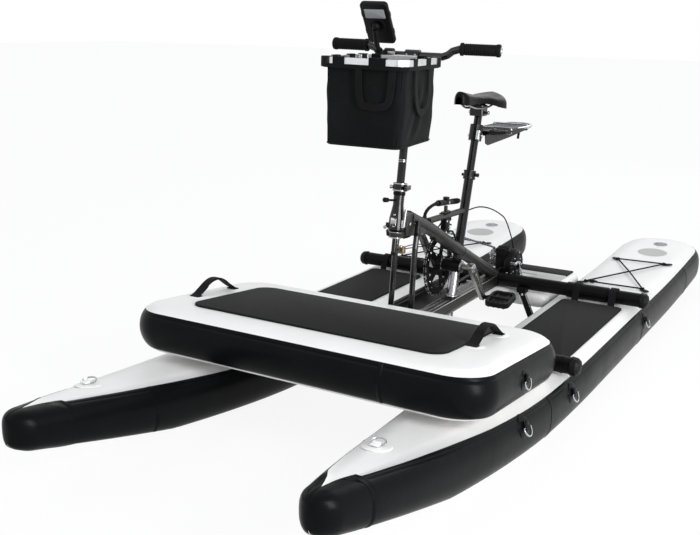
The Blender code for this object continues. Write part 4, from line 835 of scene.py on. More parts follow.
def make_deck():
    upper, lower = DECK_SEAMS
    line = upper + 0.20
    profile = [(inset, 0.0, 0) for inset in (0.27, 0.22, 0.16, 0.11, 0.075)]
    profile += [(*deck_rim(math.radians(angle)), 0) for angle in (0, 10, 20, 30)]
    profile += [(*deck_rim(upper), 0), (*deck_rim(upper + 0.01, TAPE), 1)]
    for off, proud in ((-0.02, TAPE), (0.0, GROOVE), (0.02, TAPE)):
        profile.append((*deck_rim(line + off, proud), 1))
    for k in range(1, 13):
        profile.append((*deck_rim(line + 0.02 + (lower - line - 0.04) * k / 12, TAPE), 1))
    profile += [(*deck_rim(angle), 0) for angle in (lower, *(math.radians(a) for a in (152, 161, 171, 180)))]

    def build(bm):
        rings = [deck_ring(inset, depth) for inset, depth, _ in profile]
        add_skin(bm, rings)
        for index, face in enumerate(bm.faces):
            row = index // len(rings[0])
            if row < len(rings) - 1:
                face.material_index = profile[row][2]
    piece("deck_skin", "craft", [WHITE_PVC, BLACK_PVC], build, ["foredeck"], 60.0)

    def fittings(bm):
        # A welded joint up the front wall, and a ring patch on each side wall
        strip = ((-0.006, 0.0007), (-0.005, 0.0017), (0.005, 0.0017), (0.006, 0.0007))
        rings = []
        for k in range(15):
            angle = upper + 0.02 + (lower - upper - 0.04) * k / 14
            rings.append([deck_wall(DECK_JOINT_X + dx, angle, proud) for dx, proud in strip])
        add_skin(bm, rings)
        station, angle = DECK_RING
        for sign in (1, -1):
            def side(along, up, proud):
                return deck_side(sign, station + along, angle + up / (DECK_THICK / 2), proud)
            add_patch(bm, side, 0.03, ((1.0, 0.0006), (0.95, 0.0024), (0.6, 0.0034), (0.05, 0.0034)), 24)
            d_ring(bm, side(0, 0, 0.001), (0, 1, 0), (0, 0, -1), (sign, 0, 0), 0.02, 1, 0)
    piece("deck_fittings", "craft", [BLACK_PVC, POLISHED], fittings)

    def pad(bm):
        outline = rounded_outline(*DECK_PAD_HALF, DECK_PAD_CORNER, 12)
        lay_plate(bm, deck_point, DECK_PAD_AT, outline, FOAM_THICK, 0.0018, 0, FOAM_LIFT)
    made = piece("deck_foam", "craft", [EVA], pad, ["foredeck_pad"])

    for hand, x0, y0 in HANDLES:
        make_carry_handle(hand, x0, y0)


def make_carry_handle(hand, x0, y0):
    def handle(bm):
        # Flat webbing, arched, with a rolled grip in its middle
        rings = []
        steps = 40
        for k in range(steps + 1):
            along = -HANDLE_HALF + 2 * HANDLE_HALF * k / steps
            grip = max(0.0, min(1.0, (0.052 - abs(along)) / 0.008))
            thick = 0.0032 + 0.0038 * grip
            low = HANDLE_ARCH * max(0.0, math.cos(math.pi / 2 * along / HANDLE_HALF)) ** 1.5 + 0.0004
            corner = min(0.0015 + 0.0018 * grip, thick / 2 * 0.95)
            outline = rounded_outline(HANDLE_HALF_WIDTH - 0.002 * grip, thick / 2, corner, 3)
            rings.append([deck_point(x0 + u, y0 + along, low + thick / 2 + v) for u, v in outline])
        add_skin(bm, rings)
        for end in (-1, 1):
            outline = rounded_outline(0.0145, 0.0105, 0.001, 2)
            lay_plate(bm, deck_point, (x0, y0 + end * 0.088), outline, 0.0036, 0.0006, 0, 0.0004)
    node = "deck_handle_" + hand
    piece("handle_" + hand, "craft", [WEB], handle, [node])

    def feet(bm):
        for end in (-1, 1):
            outline = [(0.030 * c, 0.034 * s) for c, s in on_circle(28)]
            lay_plate(bm, deck_point, (x0, y0 + end * 0.084), outline, 0.0016, 0.0008, 0, -0.0008)
    piece("handle_patches_" + hand, "craft", [WHITE_PVC], feet)


# The rear panel

PANEL_SPAN = (0.603, 1.01)
PANEL_HALF_WIDTH = 0.219
PANEL_THICK = 0.056
LEG_SLOT = (0.69, 0.865, 0.083)


def make_rear_panel():
    front, rear = PANEL_SPAN
    radius = PANEL_THICK / 2
    middle = (front + rear) / 2

    def build(bm):
        rings = []
        for k in range(11):
            angle = math.pi * k / 10
            inset = radius * (1 - math.sin(angle)) * 0.6
            outline = rounded_outline(PANEL_HALF_WIDTH - inset, (rear - front) / 2 - inset, 0.03, 8, 6)
            rings.append([at(x, middle + y, -radius * (1 - math.cos(angle))) for x, y in outline])
        add_skin(bm, rings)
    panel = piece("rear_panel_skin", "craft", [WHITE_PVC], build, ["rear_panel"], 60.0)
    cut_panel(panel, LEG_SLOT, -0.09, 0.03)

    def bands(bm):
        # Flat bands on the panel, parted by the slot
        for low, high, index in ((0.665, 0.69, 0), (0.865, 0.905, 0), (0.908, 0.997, 1)):
            outline = rounded_outline(0.195, (high - low) / 2, 0.006, 3)
            lay_plate(bm, at, (0.0, (low + high) / 2), outline, 0.004, 0.001, index)
        for sign in (1, -1):
            lay_plate(bm, at, (sign * 0.141, 0.7775), rounded_outline(0.054, 0.0865, 0.006, 3), 0.004, 0.001)
    piece("rear_panel_bands", "craft", [GREY_PVC, EVA], bands)


def cut_panel(panel, slot, low, high):
    """Cut the drive leg's slot out of the panel, and keep the result as a plain mesh."""
    middle = (slot[0] + slot[1]) / 2
    bm = bmesh.new()
    outline = rounded_outline(slot[2], (slot[1] - slot[0]) / 2, 0.03, 8)
    add_skin(bm, [[at(u, middle + v, z) for u, v in outline] for z in (low, high)])
    tool = mesh_object("slot_tool", bm, [BLACK_PVC])
    cut = panel.modifiers.new("slot", "BOOLEAN")
    cut.operation = "DIFFERENCE"
    cut.object = tool
    bpy.context.view_layer.update()
    graph = bpy.context.evaluated_depsgraph_get()
    mesh = bpy.data.meshes.new_from_object(panel.evaluated_get(graph))
    panel.modifiers.clear()
    panel.data = mesh
    bpy.data.objects.remove(tool, do_unlink=True)


# Cords on the tails: the tabs' places, front and rear, inner and outer

CORD_TABS = {"fi": (0.284, 0.866), "fo": (0.502, 0.872), "ri": (0.298, 1.275), "ro": (0.488, 1.288)}
CORD_RADIUS = 0.003
CORD_RUNS = (("fi", "fo", 0.0), ("fi", "ro", 0.0), ("ri", "ro", 0.0), ("fo", "ri", 0.004))


def make_bungees():
    for hand, sign in SIDES:
        lead = 0.0 if sign > 0 else FAR_FLOAT_LEAD
        node = "bungee_" + hand

        def top(name):
            x, y = CORD_TABS[name]
            return at(sign * x, y - lead, rocker(y) + 0.0075)

        def add_tab(bm, name):
            """A teardrop of webbing, its eye round the cord."""
            x, y = CORD_TABS[name]
            away = shift(math.copysign(1, sign * (x - FLOAT_X)), math.copysign(1, y - 1.078)).normalized()
            turn = Matrix.Rotation(math.atan2(away.y, away.x), 3, "Z")
            spot = top(name) + away * 0.012 - shift(z=0.0045)

            def place(u, v, height):
                return spot + turn @ Vector((u, v, height))
            outline = [(0.026 * c, 0.0125 * s * (1 + 0.25 * c)) for c, s in on_circle(24)]
            add_plate(bm, outline, place, 0.0022, 0.0008)
            add_band(bm, top(name), turn @ Vector((0, 1, 0)), (0.0038, 0.0052), (-0.0055, 0.0055), 14)

        def cords(bm):
            for a, b, hump in CORD_RUNS:
                points = []
                for share, lift in ((0, 0), (0.25, 0.4), (0.5, 1), (0.75, 0.4), (1, 0)):
                    points.append(top(a).lerp(top(b), share) + shift(z=hump * lift))
                add_tube(bm, smooth_path(points, 0.02), CORD_RADIUS, 10)
            for name in CORD_TABS:
                add_tab(bm, name)
        piece("shock_cord_" + hand, "craft", [WEB], cords, [node])

        def lock(bm):
            spot = top("fi").lerp(top("fo"), 0.12)
            add_block(bm, spot + shift(z=0.002), (0.02, 0.014, 0.013), bevel=0.003)
            knob = [(0.0, 0.0045), (0.008, 0.0045), (0.010, 0.003)]
            add_turned(bm, knob, spot + shift(sign * 0.01, 0, 0.002), (sign, 0, 0), 12)
        piece("cord_lock_" + hand, "craft", [PLASTIC], lock)


# The basket

BASKET_Y = -0.366
BASKET_RIM_Z = 0.871
BASKET_RIM = (0.247, 0.268)
BASKET_TOP = (0.231, 0.252)
BASKET_BASE = (0.217, 0.262)
BASKET_BASE_Z = 0.65
BAG_TOP_Z = BASKET_RIM_Z - 0.0125
RIM_HALF = (BASKET_RIM[0] / 2, BASKET_RIM[1] / 2)


def bag_half(share):
    """The bag's half width and half length at a share of its height."""
    return [(base + (top - base) * share) / 2 for base, top in zip(BASKET_BASE, BASKET_TOP)]


def bag_outline(share, inset):
    half_x, half_y = bag_half(share)
    return rounded_outline(half_x - inset, half_y - inset, 0.024 - inset * 0.5, 6, 18)


def basket_ring(outline, height):
    return [at(x, BASKET_Y + y, height) for x, y in outline]


def wall_point(across, sign, along, reach, height):
    """A point at a wall of the basket, by its place along that wall and its reach from the middle."""
    x, y = (along, sign * reach) if across else (sign * reach, along)
    return at(x, BASKET_Y + y, BASKET_RIM_Z + height)


def fold_amount(x, y, share):
    """How far the cloth leans in or out: a slack middle, creases, and two diagonal folds on the +X wall."""
    angle = math.atan2(y, x)
    slack = math.sin(math.pi * min(1.0, share * 1.05)) * 0.0035
    crease = 0.0028 * math.sin(angle * 9.0 + share * 3.0) * (0.3 + 0.7 * share)
    crumple = noise.noise(Vector((x * 16, y * 16, share * 3.4))) * 0.0048
    fold = 0.0
    if x > 0.09:
        for start, rise in ((-0.095, 0.13), (-0.03, 0.10)):
            away = (y - start - rise * share) / 0.022
            fold += 0.0062 * math.exp(-away * away) - 0.003 * math.exp(-(away - 1.5) ** 2)
    return slack + crease + crumple + fold


def make_basket():
    def bag(bm):
        rings = []
        steps = 26
        for k in range(steps + 1):
            share = k / steps
            height = BASKET_BASE_Z + (BAG_TOP_Z - BASKET_BASE_Z) * share
            ring = []
            for x, y in bag_outline(share, 0.0):
                away = Vector((x, y)).normalized()
                push = fold_amount(x, y, share) * math.sin(math.pi * min(0.96, share + 0.04)) - 0.002
                ring.append(at(x + away.x * push, BASKET_Y + y + away.y * push, height))
            rings.append(ring)
        inside = ((1.0, 0.004, BAG_TOP_Z), (0.6, 0.005, BASKET_BASE_Z + 0.13),
                  (0.0, 0.005, BASKET_BASE_Z + 0.006))
        rings += [basket_ring(bag_outline(share, inset), height) for share, inset, height in inside]
        add_skin(bm, rings)
    piece("bag_shell", "cockpit", [BAG], bag, ["basket_bag"], 50.0)

    def piping(bm):
        for sx in (1, -1):
            for sy in (1, -1):
                points = []
                for k in range(13):
                    share = k / 12
                    height = BASKET_BASE_Z + 0.004 + (BAG_TOP_Z - BASKET_BASE_Z - 0.006) * share
                    half_x, half_y = bag_half(share)
                    points.append(at(sx * (half_x - 0.0078), BASKET_Y + sy * (half_y - 0.0078), height))
                add_tube(bm, points, 0.0022, 8)
        outline = rounded_outline(BASKET_BASE[0] / 2 - 0.001, BASKET_BASE[1] / 2 - 0.001, 0.022)
        add_tube(bm, basket_ring(outline, BASKET_BASE_Z + 0.004), 0.0023, 8, closed=True)
    piece("bag_piping", "cockpit", [WEB], piping)

    def wraps(bm):
        # A hem under the rim, and cloth loops sewn round it: (across, sign, place along the wall, half width)
        hem = []
        for proud, low in ((0.0004, -0.0155), (0.0016, -0.0150), (0.0016, -0.0052), (0.0004, -0.0046)):
            outline = rounded_outline(RIM_HALF[0] + proud, RIM_HALF[1] + proud, 0.0242)
            hem.append(basket_ring(outline, BASKET_RIM_Z + low))
        add_skin(bm, hem, caps=False)
        loops = ((1, -1, -0.071, 0.017), (1, -1, 0.040, 0.024), (0, 1, -0.070, 0.013), (0, 1, 0.031, 0.016),
                 (0, -1, -0.05, 0.016), (0, -1, 0.05, 0.016), (1, 1, -0.07, 0.014), (1, 1, 0.07, 0.014))
        section = ((0.0012, -0.016), (0.0016, 0.0125), (0.0002, 0.0148), (-0.0122, 0.0148), (-0.0136, 0.0125),
                   (-0.0132, -0.016))
        for across, sign, spot, half in loops:
            rings = []
            for along in (-half, -half * 0.33, half * 0.33, half):
                rings.append([wall_point(across, sign, spot + along, RIM_HALF[across] + out, height)
                              for out, height in section])
            add_skin(bm, rings)
    piece("rim_wraps", "cockpit", [BAG], wraps, smooth=30.0)

    def straps(bm):
        # A carrying strap hangs on the front wall and one on the left wall: along the wall, out and up
        front = ((0.082, 0, 0), (0.080, 0.002, -0.05), (0.074, 0.004, -0.088), (0.052, 0.005, -0.100),
                 (0.02, 0.005, -0.100), (0, 0.005, -0.094), (-0.010, 0.004, -0.06), (-0.014, 0.002, 0))
        left = ((-0.05, 0, 0), (-0.054, 0.003, -0.06), (-0.036, 0.004, -0.105), (0, 0.004, -0.118),
                (0.036, 0.004, -0.100), (0.052, 0.003, -0.05), (0.052, 0, 0))
        for across, sign, run in ((1, -1, front), (0, 1, left)):
            reach = BASKET_TOP[across] / 2 + 0.003
            spots = [wall_point(across, sign, along, reach + out, z - 0.012) for along, out, z in run]
            path = smooth_path(spots, 0.008)
            outward = Vector((0, sign, 0)) if across else Vector((sign, 0, 0))
            rings = []
            for i, point in enumerate(path):
                along = (path[min(i + 1, len(path) - 1)] - path[max(i - 1, 0)]).normalized()
                wide = along.cross(outward).normalized() * 0.0105
                rings.append([point + wide, point + wide * 0.9 + outward * 0.0022,
                              point - wide * 0.9 + outward * 0.0022, point - wide])
            add_skin(bm, rings)
    piece("bag_straps", "cockpit", [WEB], straps)

    def corners(bm):
        for sx, sy in ((-1, -1), (-1, 1), (1, 1)):
            spot = at(sx * (RIM_HALF[0] - 0.012), BASKET_Y + sy * (RIM_HALF[1] - 0.012), BASKET_RIM_Z)
            profile = [(-0.014, 0.0135), (-0.0125, 0.0152), (0.0125, 0.0152), (0.014, 0.0135)]
            add_turned(bm, profile, spot, (0, 0, 1), 20)
    piece("rim_corners", "cockpit", [PLASTIC], corners)


# The handlebar and the phone holder

BAR_HEIGHT = 0.881
BAR_HALF = 0.256
BAR_STRAIGHT = 0.108
BAR_SWEEP = 0.085
BAR_RISE = 0.024
GRIP_LENGTH = 0.112
PHONE_AT = (-0.084, -0.211, 0.968)
PHONE_LEAN = math.radians(38)
PHONE_HALF = (0.0425, 0.071)


def make_cockpit():
    centre = at(0, *STEER_FOOT) + steer_axis() * ((BAR_HEIGHT - STEER_FOOT[1]) / math.cos(STEER_LEAN))
    for hand, sign in SIDES:
        def grip(bm):
            end = centre + shift(sign * (BAR_HALF + 0.001), (BAR_HALF - BAR_STRAIGHT) * BAR_SWEEP, BAR_RISE)
            along = Vector((-sign, -BAR_SWEEP, 0)).normalized()
            length = GRIP_LENGTH
            ribs = 15
            pitch = (length - 0.024) / ribs
            profile = [(-0.006, 0.012), (-0.0058, 0.0155), (-0.004, 0.0182), (0.004, 0.0186), (0.008, 0.0172)]
            for k in range(ribs):
                base = 0.010 + (length - 0.024) * k / ribs
                profile += [(base + pitch * share, radius)
                            for share, radius in ((0, 0.0160), (0.3, 0.0170), (0.7, 0.0170), (0.95, 0.0160))]
            profile += [(length - 0.010, 0.0165), (length - 0.008, 0.0188), (length - 0.001, 0.0188),
                        (length, 0.0175), (length, 0.0120), (0.0, 0.0120)]
            add_turned(bm, profile, end, along, 28, bored=True)
            # An end plug with a ring
            plug = [(0.0, 0.0115), (0.0072, 0.0115), (0.0082, 0.0100), (0.0082, 0.0070), (0.0070, 0.0065),
                    (0.0070, 0.0)]
            add_turned(bm, plug, end - along * 0.0005, -along, 24, 1)
        node = "grip_" + hand
        piece("ribbed_grip_" + hand, "cockpit", [RUBBER, POLISHED], grip, [node])
    make_phone(centre)

    def stem_bolts(bm):
        for x in (-0.0135, 0.0135):
            add_bolt(bm, centre + shift(x, -0.0172, 0.002), (0, -1, 0), 0.0036, 0.0035)
            add_bolt(bm, centre + shift(x, -0.012, -0.0125), (0, -0.7, -0.7), 0.0036, 0.0035)
    piece("stem_bolts", "cockpit", [STEEL], stem_bolts)


def make_phone(centre):
    turn = Matrix.Rotation(PHONE_LEAN, 3, "X")
    spot = at(*PHONE_AT)
    normal = turn @ Vector((0, 1, 0))
    side = Vector((1, 0, 0))
    up = turn @ Vector((0, 0, 1))

    def place(u, v, depth):
        return spot + side * u + up * v + normal * depth

    def window(u, v, height):
        return place(u, v + 0.036, -height)

    def screen(u, v, height):
        return place(u, v, 0.0150 + height)

    def case(bm):
        rings = []
        for depth, inset in ((0.0, 0.004), (0.0008, 0.0016), (0.003, 0.0), (0.012, 0.0), (0.0150, 0.0014),
                             (0.0158, 0.0036), (0.0158, 0.0060), (0.0148, 0.0066)):
            outline = rounded_outline(PHONE_HALF[0] - inset, PHONE_HALF[1] - inset, 0.012 - inset * 0.5, 8)
            rings.append([place(u, v, depth) for u, v in outline])
        add_skin(bm, rings)
        # The clear window on the back for a camera, a raised ring for the ball mount, and four latches
        add_plate(bm, rounded_outline(0.031, 0.0155, 0.003, 4), window, 0.0012, 0.0004, 1, -0.0004)
        ring = [(0.0, 0.026), (0.0022, 0.0255), (0.003, 0.024), (0.003, 0.021), (0.0012, 0.020),
                (0.0012, 0.0155), (0.0, 0.0150)]
        add_turned(bm, ring, spot - up * 0.006 - normal * 0.0001, -normal, 32)
        for v in (-0.03, 0.03):
            for sign in (1, -1):
                add_block(bm, spot + side * sign * 0.0430 + up * v + normal * 0.008, (0.0024, 0.010, 0.016),
                          Matrix((side, normal, up)).transposed(), 0.0008)
        # The screen pane faces the rider
        add_plate(bm, rounded_outline(0.0365, 0.064, 0.007), screen, 0.0006, 0.0003, 2)
    node = "phone_case"
    piece("phone_shell", "phone", [PLASTIC, GLASS_GREY, BLACK_PAINT], case, [node])

    def mount(bm):
        foot = centre + shift(-0.075)
        collar = [(-0.008, 0.0084), (-0.008, 0.0115), (0.0, 0.0128), (0.008, 0.0115), (0.008, 0.0084)]
        add_turned(bm, collar, spot - up * 0.075 - normal * 0.032, up, 18, bored=True)
        add_bolt(bm, foot + shift(0.0, -0.0195, -0.004), (0, -1, -0.3), 0.004, 0.006, 1)
        nut = [(0.0, 0.0062), (0.02, 0.0062), (0.022, 0.0048)]
        add_turned(bm, nut, foot + shift(0.006, -0.026, 0.004), (1, 0, 0), 8, 1)
    piece("mount_collar", "cockpit", [PLASTIC, STEEL], mount)


# The seat and the rack

SADDLE_SPAN = (0.217, 0.50)
RAIL_ROUTE = ((0.010, 0.262, 0.712), (0.016, 0.300, 0.700), (0.0215, 0.345, 0.694),
              (0.0215, 0.420, 0.694), (0.026, 0.452, 0.702), (0.032, 0.470, 0.714))
RAIL_RADIUS = 0.0036
RACK_LEVEL = 0.603


def seat_axis():
    return Vector((0, SEAT_HEAD[0] - SEAT_FOOT[0], SEAT_HEAD[1] - SEAT_FOOT[1])).normalized()


def seat_point(height):
    """The point of the seat tube's line at a height."""
    share = (height - SEAT_FOOT[1]) / (SEAT_HEAD[1] - SEAT_FOOT[1])
    return at(0, SEAT_FOOT[0] + (SEAT_HEAD[0] - SEAT_FOOT[0]) * share, height)


def fade(run, start, length):
    """0 up to a start and 1 from a length further on."""
    return min(1.0, max(0.0, (run - start) / length))


def saddle_section(run):
    """Half width, top and underside of the saddle at a share of its length from the nose."""
    half = 0.027 + 0.050 / (1 + math.exp(-(run - 0.55) * 11))
    half *= max(0.30, min(1, math.sqrt(max(0.0, 1 - max(0, (run - 0.82) / 0.19) ** 2))))
    half *= max(0.5, min(1, (run + 0.08) / 0.16)) if run < 0.08 else 1
    top = 0.739 + 0.012 * abs(run - 0.45) ** 1.6 / 0.4 - 0.006 * max(0.0, run - 0.6)
    top += 0.011 * max(0.0, 1 - run / 0.45) - 0.006 * fade(run, 0.4, 0.3)
    bottom = 0.7025 + 0.012 * max(0, 0.3 - run) - 0.014 * fade(run, 0.42, 0.3)
    bottom += 0.008 * max(0.0, 1 - run / 0.35)
    return half, top, bottom + 0.010 * math.sin(math.pi * fade(run, 0.1, 0.75))


def make_saddle():
    nose, rear = SADDLE_SPAN

    def build(bm):
        rings = []
        steps = 40
        count = 26
        for k in range(steps + 1):
            run = k / steps
            station = nose + (rear - nose) * run
            half, top, bottom = saddle_section(run)
            end = min(1.0, math.sin(math.pi * min(0.5, (run + 0.012) / 0.09)) if run < 0.04 else 1.0)
            ring = []
            for j in range(count):
                angle = math.pi * j / (count - 1)
                x = half * math.copysign(abs(math.cos(angle)) ** 0.8, math.cos(angle)) * (0.6 + 0.4 * end)
                lift = math.sin(angle) ** 0.55
                groove = 0.0032 * math.exp(-(x / 0.007) ** 2) * (1 if 0.25 < run < 0.9 else 0)
                z = bottom + (top - bottom) * lift * (0.75 + 0.25 * end) - groove * lift
                ring.append(at(x, station, z))
            # The hollow underside
            for j in range(count - 2, 0, -1):
                angle = math.pi * j / (count - 1)
                under = bottom + 0.004 + 0.022 * math.sin(angle)
                ring.append(at(half * 0.86 * math.cos(angle), station, under))
            rings.append(ring)
        add_skin(bm, rings)
    made = piece("saddle_cover", "seat", [VINYL], build, ["saddle"], 60.0)

    def rails(bm):
        for sign in (1, -1):
            spots = [(sign * x, station, height) for x, station, height in RAIL_ROUTE]
            add_tube(bm, route(spots, 0.012), RAIL_RADIUS, 10)
        clamp = seat_point(0.672) + shift(0, 0.004, 0.004)
        add_block(bm, clamp, (0.056, 0.040, 0.009), Matrix.Rotation(-0.1, 3, "X"), 0.002, 1)
        add_tube(bm, [clamp - shift(0.033), clamp + shift(0.033)], 0.0042, 10)
        for sign in (1, -1):
            add_bolt(bm, clamp + shift(sign * 0.0325), (sign, 0, 0), 0.0066, 0.005)
    piece("saddle_rails", "seat", [STEEL, SATIN_BLACK], rails)


def make_rack_trim():
    def build(bm):
        # Bright loops round the rack, and a bright border round its rear and left side
        for y in (0.535, 0.70):
            outline = rounded_outline(0.0685, 0.0105, 0.006, 4)
            add_tube(bm, [at(u, y, RACK_LEVEL + v) for u, v in outline], 0.0022, 8, closed=True)
        border = ((-0.034, 0.790), (0.0, 0.797), (0.034, 0.790), (0.0655, 0.738), (0.0655, 0.60))
        add_tube(bm, route([(x, y, RACK_LEVEL + 0.002) for x, y in border], 0.02), 0.0052)
        # A dark wing hangs from each side rail, deepest at the front
        wing = ((0.024, 0.396, -0.004), (0.024, 0.402, -0.034), (0.027, 0.416, -0.041),
                (0.049, 0.560, -0.025), (0.064, 0.715, -0.006), (0.064, 0.715, 0.0))
        for sign in (1, -1):
            rings = []
            for thick in (0.0, 0.003):
                rings.append([at(sign * (x + thick), y, RACK_LEVEL + z) for x, y, z in wing])
            add_skin(bm, rings, index=2)
        # Two plates and a short strut on each side
        for sign in (1, -1):
            for y, length, lift in ((0.575, 0.066, 0.0050), (0.6175, 0.155, 0.0034)):
                size = (0.050, length, 0.0026)
                add_block(bm, at(sign * 0.032, y, RACK_LEVEL + lift), size, bevel=0.001, index=2)
            strut = [at(sign * 0.02, 0.46, RACK_LEVEL - 0.004), at(sign * 0.016, 0.425, RACK_LEVEL - 0.012)]
            add_tube(bm, strut, 0.003, 8, 1)
        # The clamp's bolts and the bright block before it
        low = seat_point(0.598)
        for sign in (1, -1):
            add_bolt(bm, low + shift(sign * 0.0225), (sign, 0, 0), 0.0052, 0.005)
        lean = Matrix.Rotation(-0.26, 3, "X")
        add_block(bm, low + shift(0.0165, -0.0165, 0.004), (0.012, 0.014, 0.036), lean, 0.003)
    piece("rack_trim", "seat", [POLISHED, SATIN_BLACK, FRAME_GREY], build)


# The steering head and frame fittings

CLAMP_ALONG = 0.1116
STEER_CABLE = ((0.024, 0.02, 0.275), (0.027, 0.16, 0.213), (0.028, 0.34, 0.152), (0.029, 0.52, 0.073),
               (0.030, 0.60, 0.0785), (0.026, 0.69, 0.0605))
STEER_CABLE_RADIUS = 0.0016
# Each bent rod of the bracket cluster: its route, radius and sides
BRACKET_RODS = (
    (((0.013, 0.128, 0.30), (0.020, 0.165, 0.298), (0.016, 0.205, 0.262), (0.012, 0.232, 0.232)),
     0.0032, 10),
    (((-0.012, 0.12, 0.315), (-0.019, 0.175, 0.325), (-0.018, 0.24, 0.302)), 0.0026, 8),
)


def make_steering_fittings():
    axis = steer_axis()
    foot = at(0, *STEER_FOOT)
    lean = Matrix.Rotation(-STEER_LEAN, 3, "X")

    def hinge_pin(bm):
        pin = foot + shift(-0.0295) + axis * 0.001
        back = Vector((0, math.cos(STEER_LEAN), -math.sin(STEER_LEAN)))
        add_tube(bm, [pin - back * 0.016, pin + back * 0.0125], 0.0035, 14)
        add_bolt(bm, pin - back * 0.016, -back, 0.0056, 0.003)
    piece("fold_hinge_pin", "steering", [STEEL], hinge_pin)

    def keeper(bm):
        # The latch's keeper across the joint, its bolts, and a ring round the post
        add_block(bm, foot + shift(0.024, -0.004) + axis * 0.016, (0.007, 0.022, 0.026), lean)
        add_block(bm, foot + shift(0.0, -0.0262, 0.004) + axis * 0.020, (0.018, 0.006, 0.024), lean)
        hook = [foot + shift(0.028, -0.012) + axis * 0.010, foot + shift(0.030, -0.010) + axis * 0.062]
        add_tube(bm, hook, 0.0042, 10)
        for k in range(3):
            spot = foot + shift(0.0, -0.0245 + 0.0012 * k) + axis * (0.010 + 0.017 * k)
            add_bolt(bm, spot, (0, -1, 0), 0.004, 0.003)
        ring = [(0.0, 0.0170), (0.0, 0.0182), (0.006, 0.0188), (0.010, 0.0180), (0.010, 0.0170)]
        add_turned(bm, ring, foot + axis * 0.1, axis, 24, 1, bored=True)
    piece("latch_keeper", "post", [STEEL, SATIN_BLACK], keeper)

    def clamp_bolt(bm):
        spot = foot + axis * (CLAMP_ALONG + 0.013)
        add_tube(bm, [spot + shift(-0.026, -0.006), spot + shift(-0.0195, -0.006)], 0.0055)
        add_bolt(bm, spot + shift(-0.026, -0.006), (-1, 0, 0), 0.0062, 0.004)
        for height in (0.003, 0.023):
            low = foot + axis * (CLAMP_ALONG + height - 0.0015)
            add_band(bm, low, axis, (0.0208, 0.0222), (0.0, 0.003), 28)
    piece("clamp_bolt", "post", [STEEL], clamp_bolt)

    def stem_rings(bm):
        # Plain bright rings at the stem's foot stand for its height stop
        for along in (0.20, 0.205):
            add_band(bm, foot + axis * along, axis, (0.0124, 0.0128), (0.0, 0.002))
    piece("stem_rings", "cockpit", [STEEL], stem_rings)

    def head_bolts(bm):
        for station, height, radius in ((-0.148, 0.376, 0.0062), (-0.112, 0.372, 0.0050)):
            add_bolt(bm, at(0.0175, station, height), (1, 0, 0), radius, 0.004)
        for height in (-0.030, -0.013):
            add_band(bm, foot + axis * height, axis, (0.0160, 0.0202), (0.0, 0.003))
        # Guides that carry the steering cables below the main tube
        slope = Matrix.Rotation(-0.45, 3, "X")
        for station, height in ((0.06, 0.2905), (0.17, 0.2365)):
            add_block(bm, at(0, station, height), (0.022, 0.012, 0.010), slope, 0.002, 1)
    piece("head_bolts", "craft", [STEEL, PLASTIC], head_bolts)

    def bracket(bm):
        # The bracket cluster hung under the upper tube beside the crank
        add_block(bm, at(0.0, 0.150, 0.322), (0.020, 0.034, 0.052), bevel=0.003, index=1)
        add_block(bm, at(0.0, 0.128, 0.300), (0.026, 0.022, 0.020), bevel=0.003, index=1)
        for spots, radius, sides in BRACKET_RODS:
            add_tube(bm, route(spots, 0.01), radius, sides, 1)
        for spot in ((0.0105, 0.140, 0.335), (0.0105, 0.160, 0.310), (0.0135, 0.128, 0.30)):
            add_bolt(bm, at(*spot), (1, 0, 0), 0.0046, 0.0035)
        add_band(bm, at(0.0, 0.176, 0.338), (0, 1, -0.2), (0.004, 0.0095), (0.0, 0.005), 16)
    piece("bracket_cluster", "craft", [POLISHED, SATIN_BLACK], bracket)

    block = foot - axis * 0.072 + shift(0, 0.058, -0.006)

    def cables(bm):
        block_at = turn_point(block)
        for sign in (1, -1):
            path = [block_at + shift(sign * 0.007, 0.010, 0.001), block_at + shift(sign * 0.010, 0.030, 0.0)]
            path += [at(sign * x, station, height) for x, station, height in STEER_CABLE]
            add_tube(bm, smooth_path(path, 0.02), STEER_CABLE_RADIUS, 8)
    made = piece_unridden("steering_cables", [RUBBER], cables)
    start = turn_point(foot - axis * 0.072 + Vector((0, 0.068, -0.006)))
    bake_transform(made)

    def ferrules(bm):
        for sign in (1, -1):
            profile = [(0.0, 0.0032), (0.005, 0.0030), (0.0065, 0.0020)]
            add_turned(bm, profile, block + shift(sign * 0.007, 0.0108, 0.001), (0, 1, 0), 12)
        add_bolt(bm, block + shift(z=0.0098), (0, 0, 1), 0.005, 0.0035)
    piece("cable_ferrules", "steering", [POLISHED], ferrules)


# Places along a beam in X, and the straps that tie it down
BEAM_BANDS = (0.235, 0.53)
BEAM_END = 0.5565
STRAP_PLACES = (0.330, 0.462)
STRAP_HALF_WIDTH = 0.0125
STRAP_RADIUS = 0.0292
STRAP_END = (0.040, 0.0012)


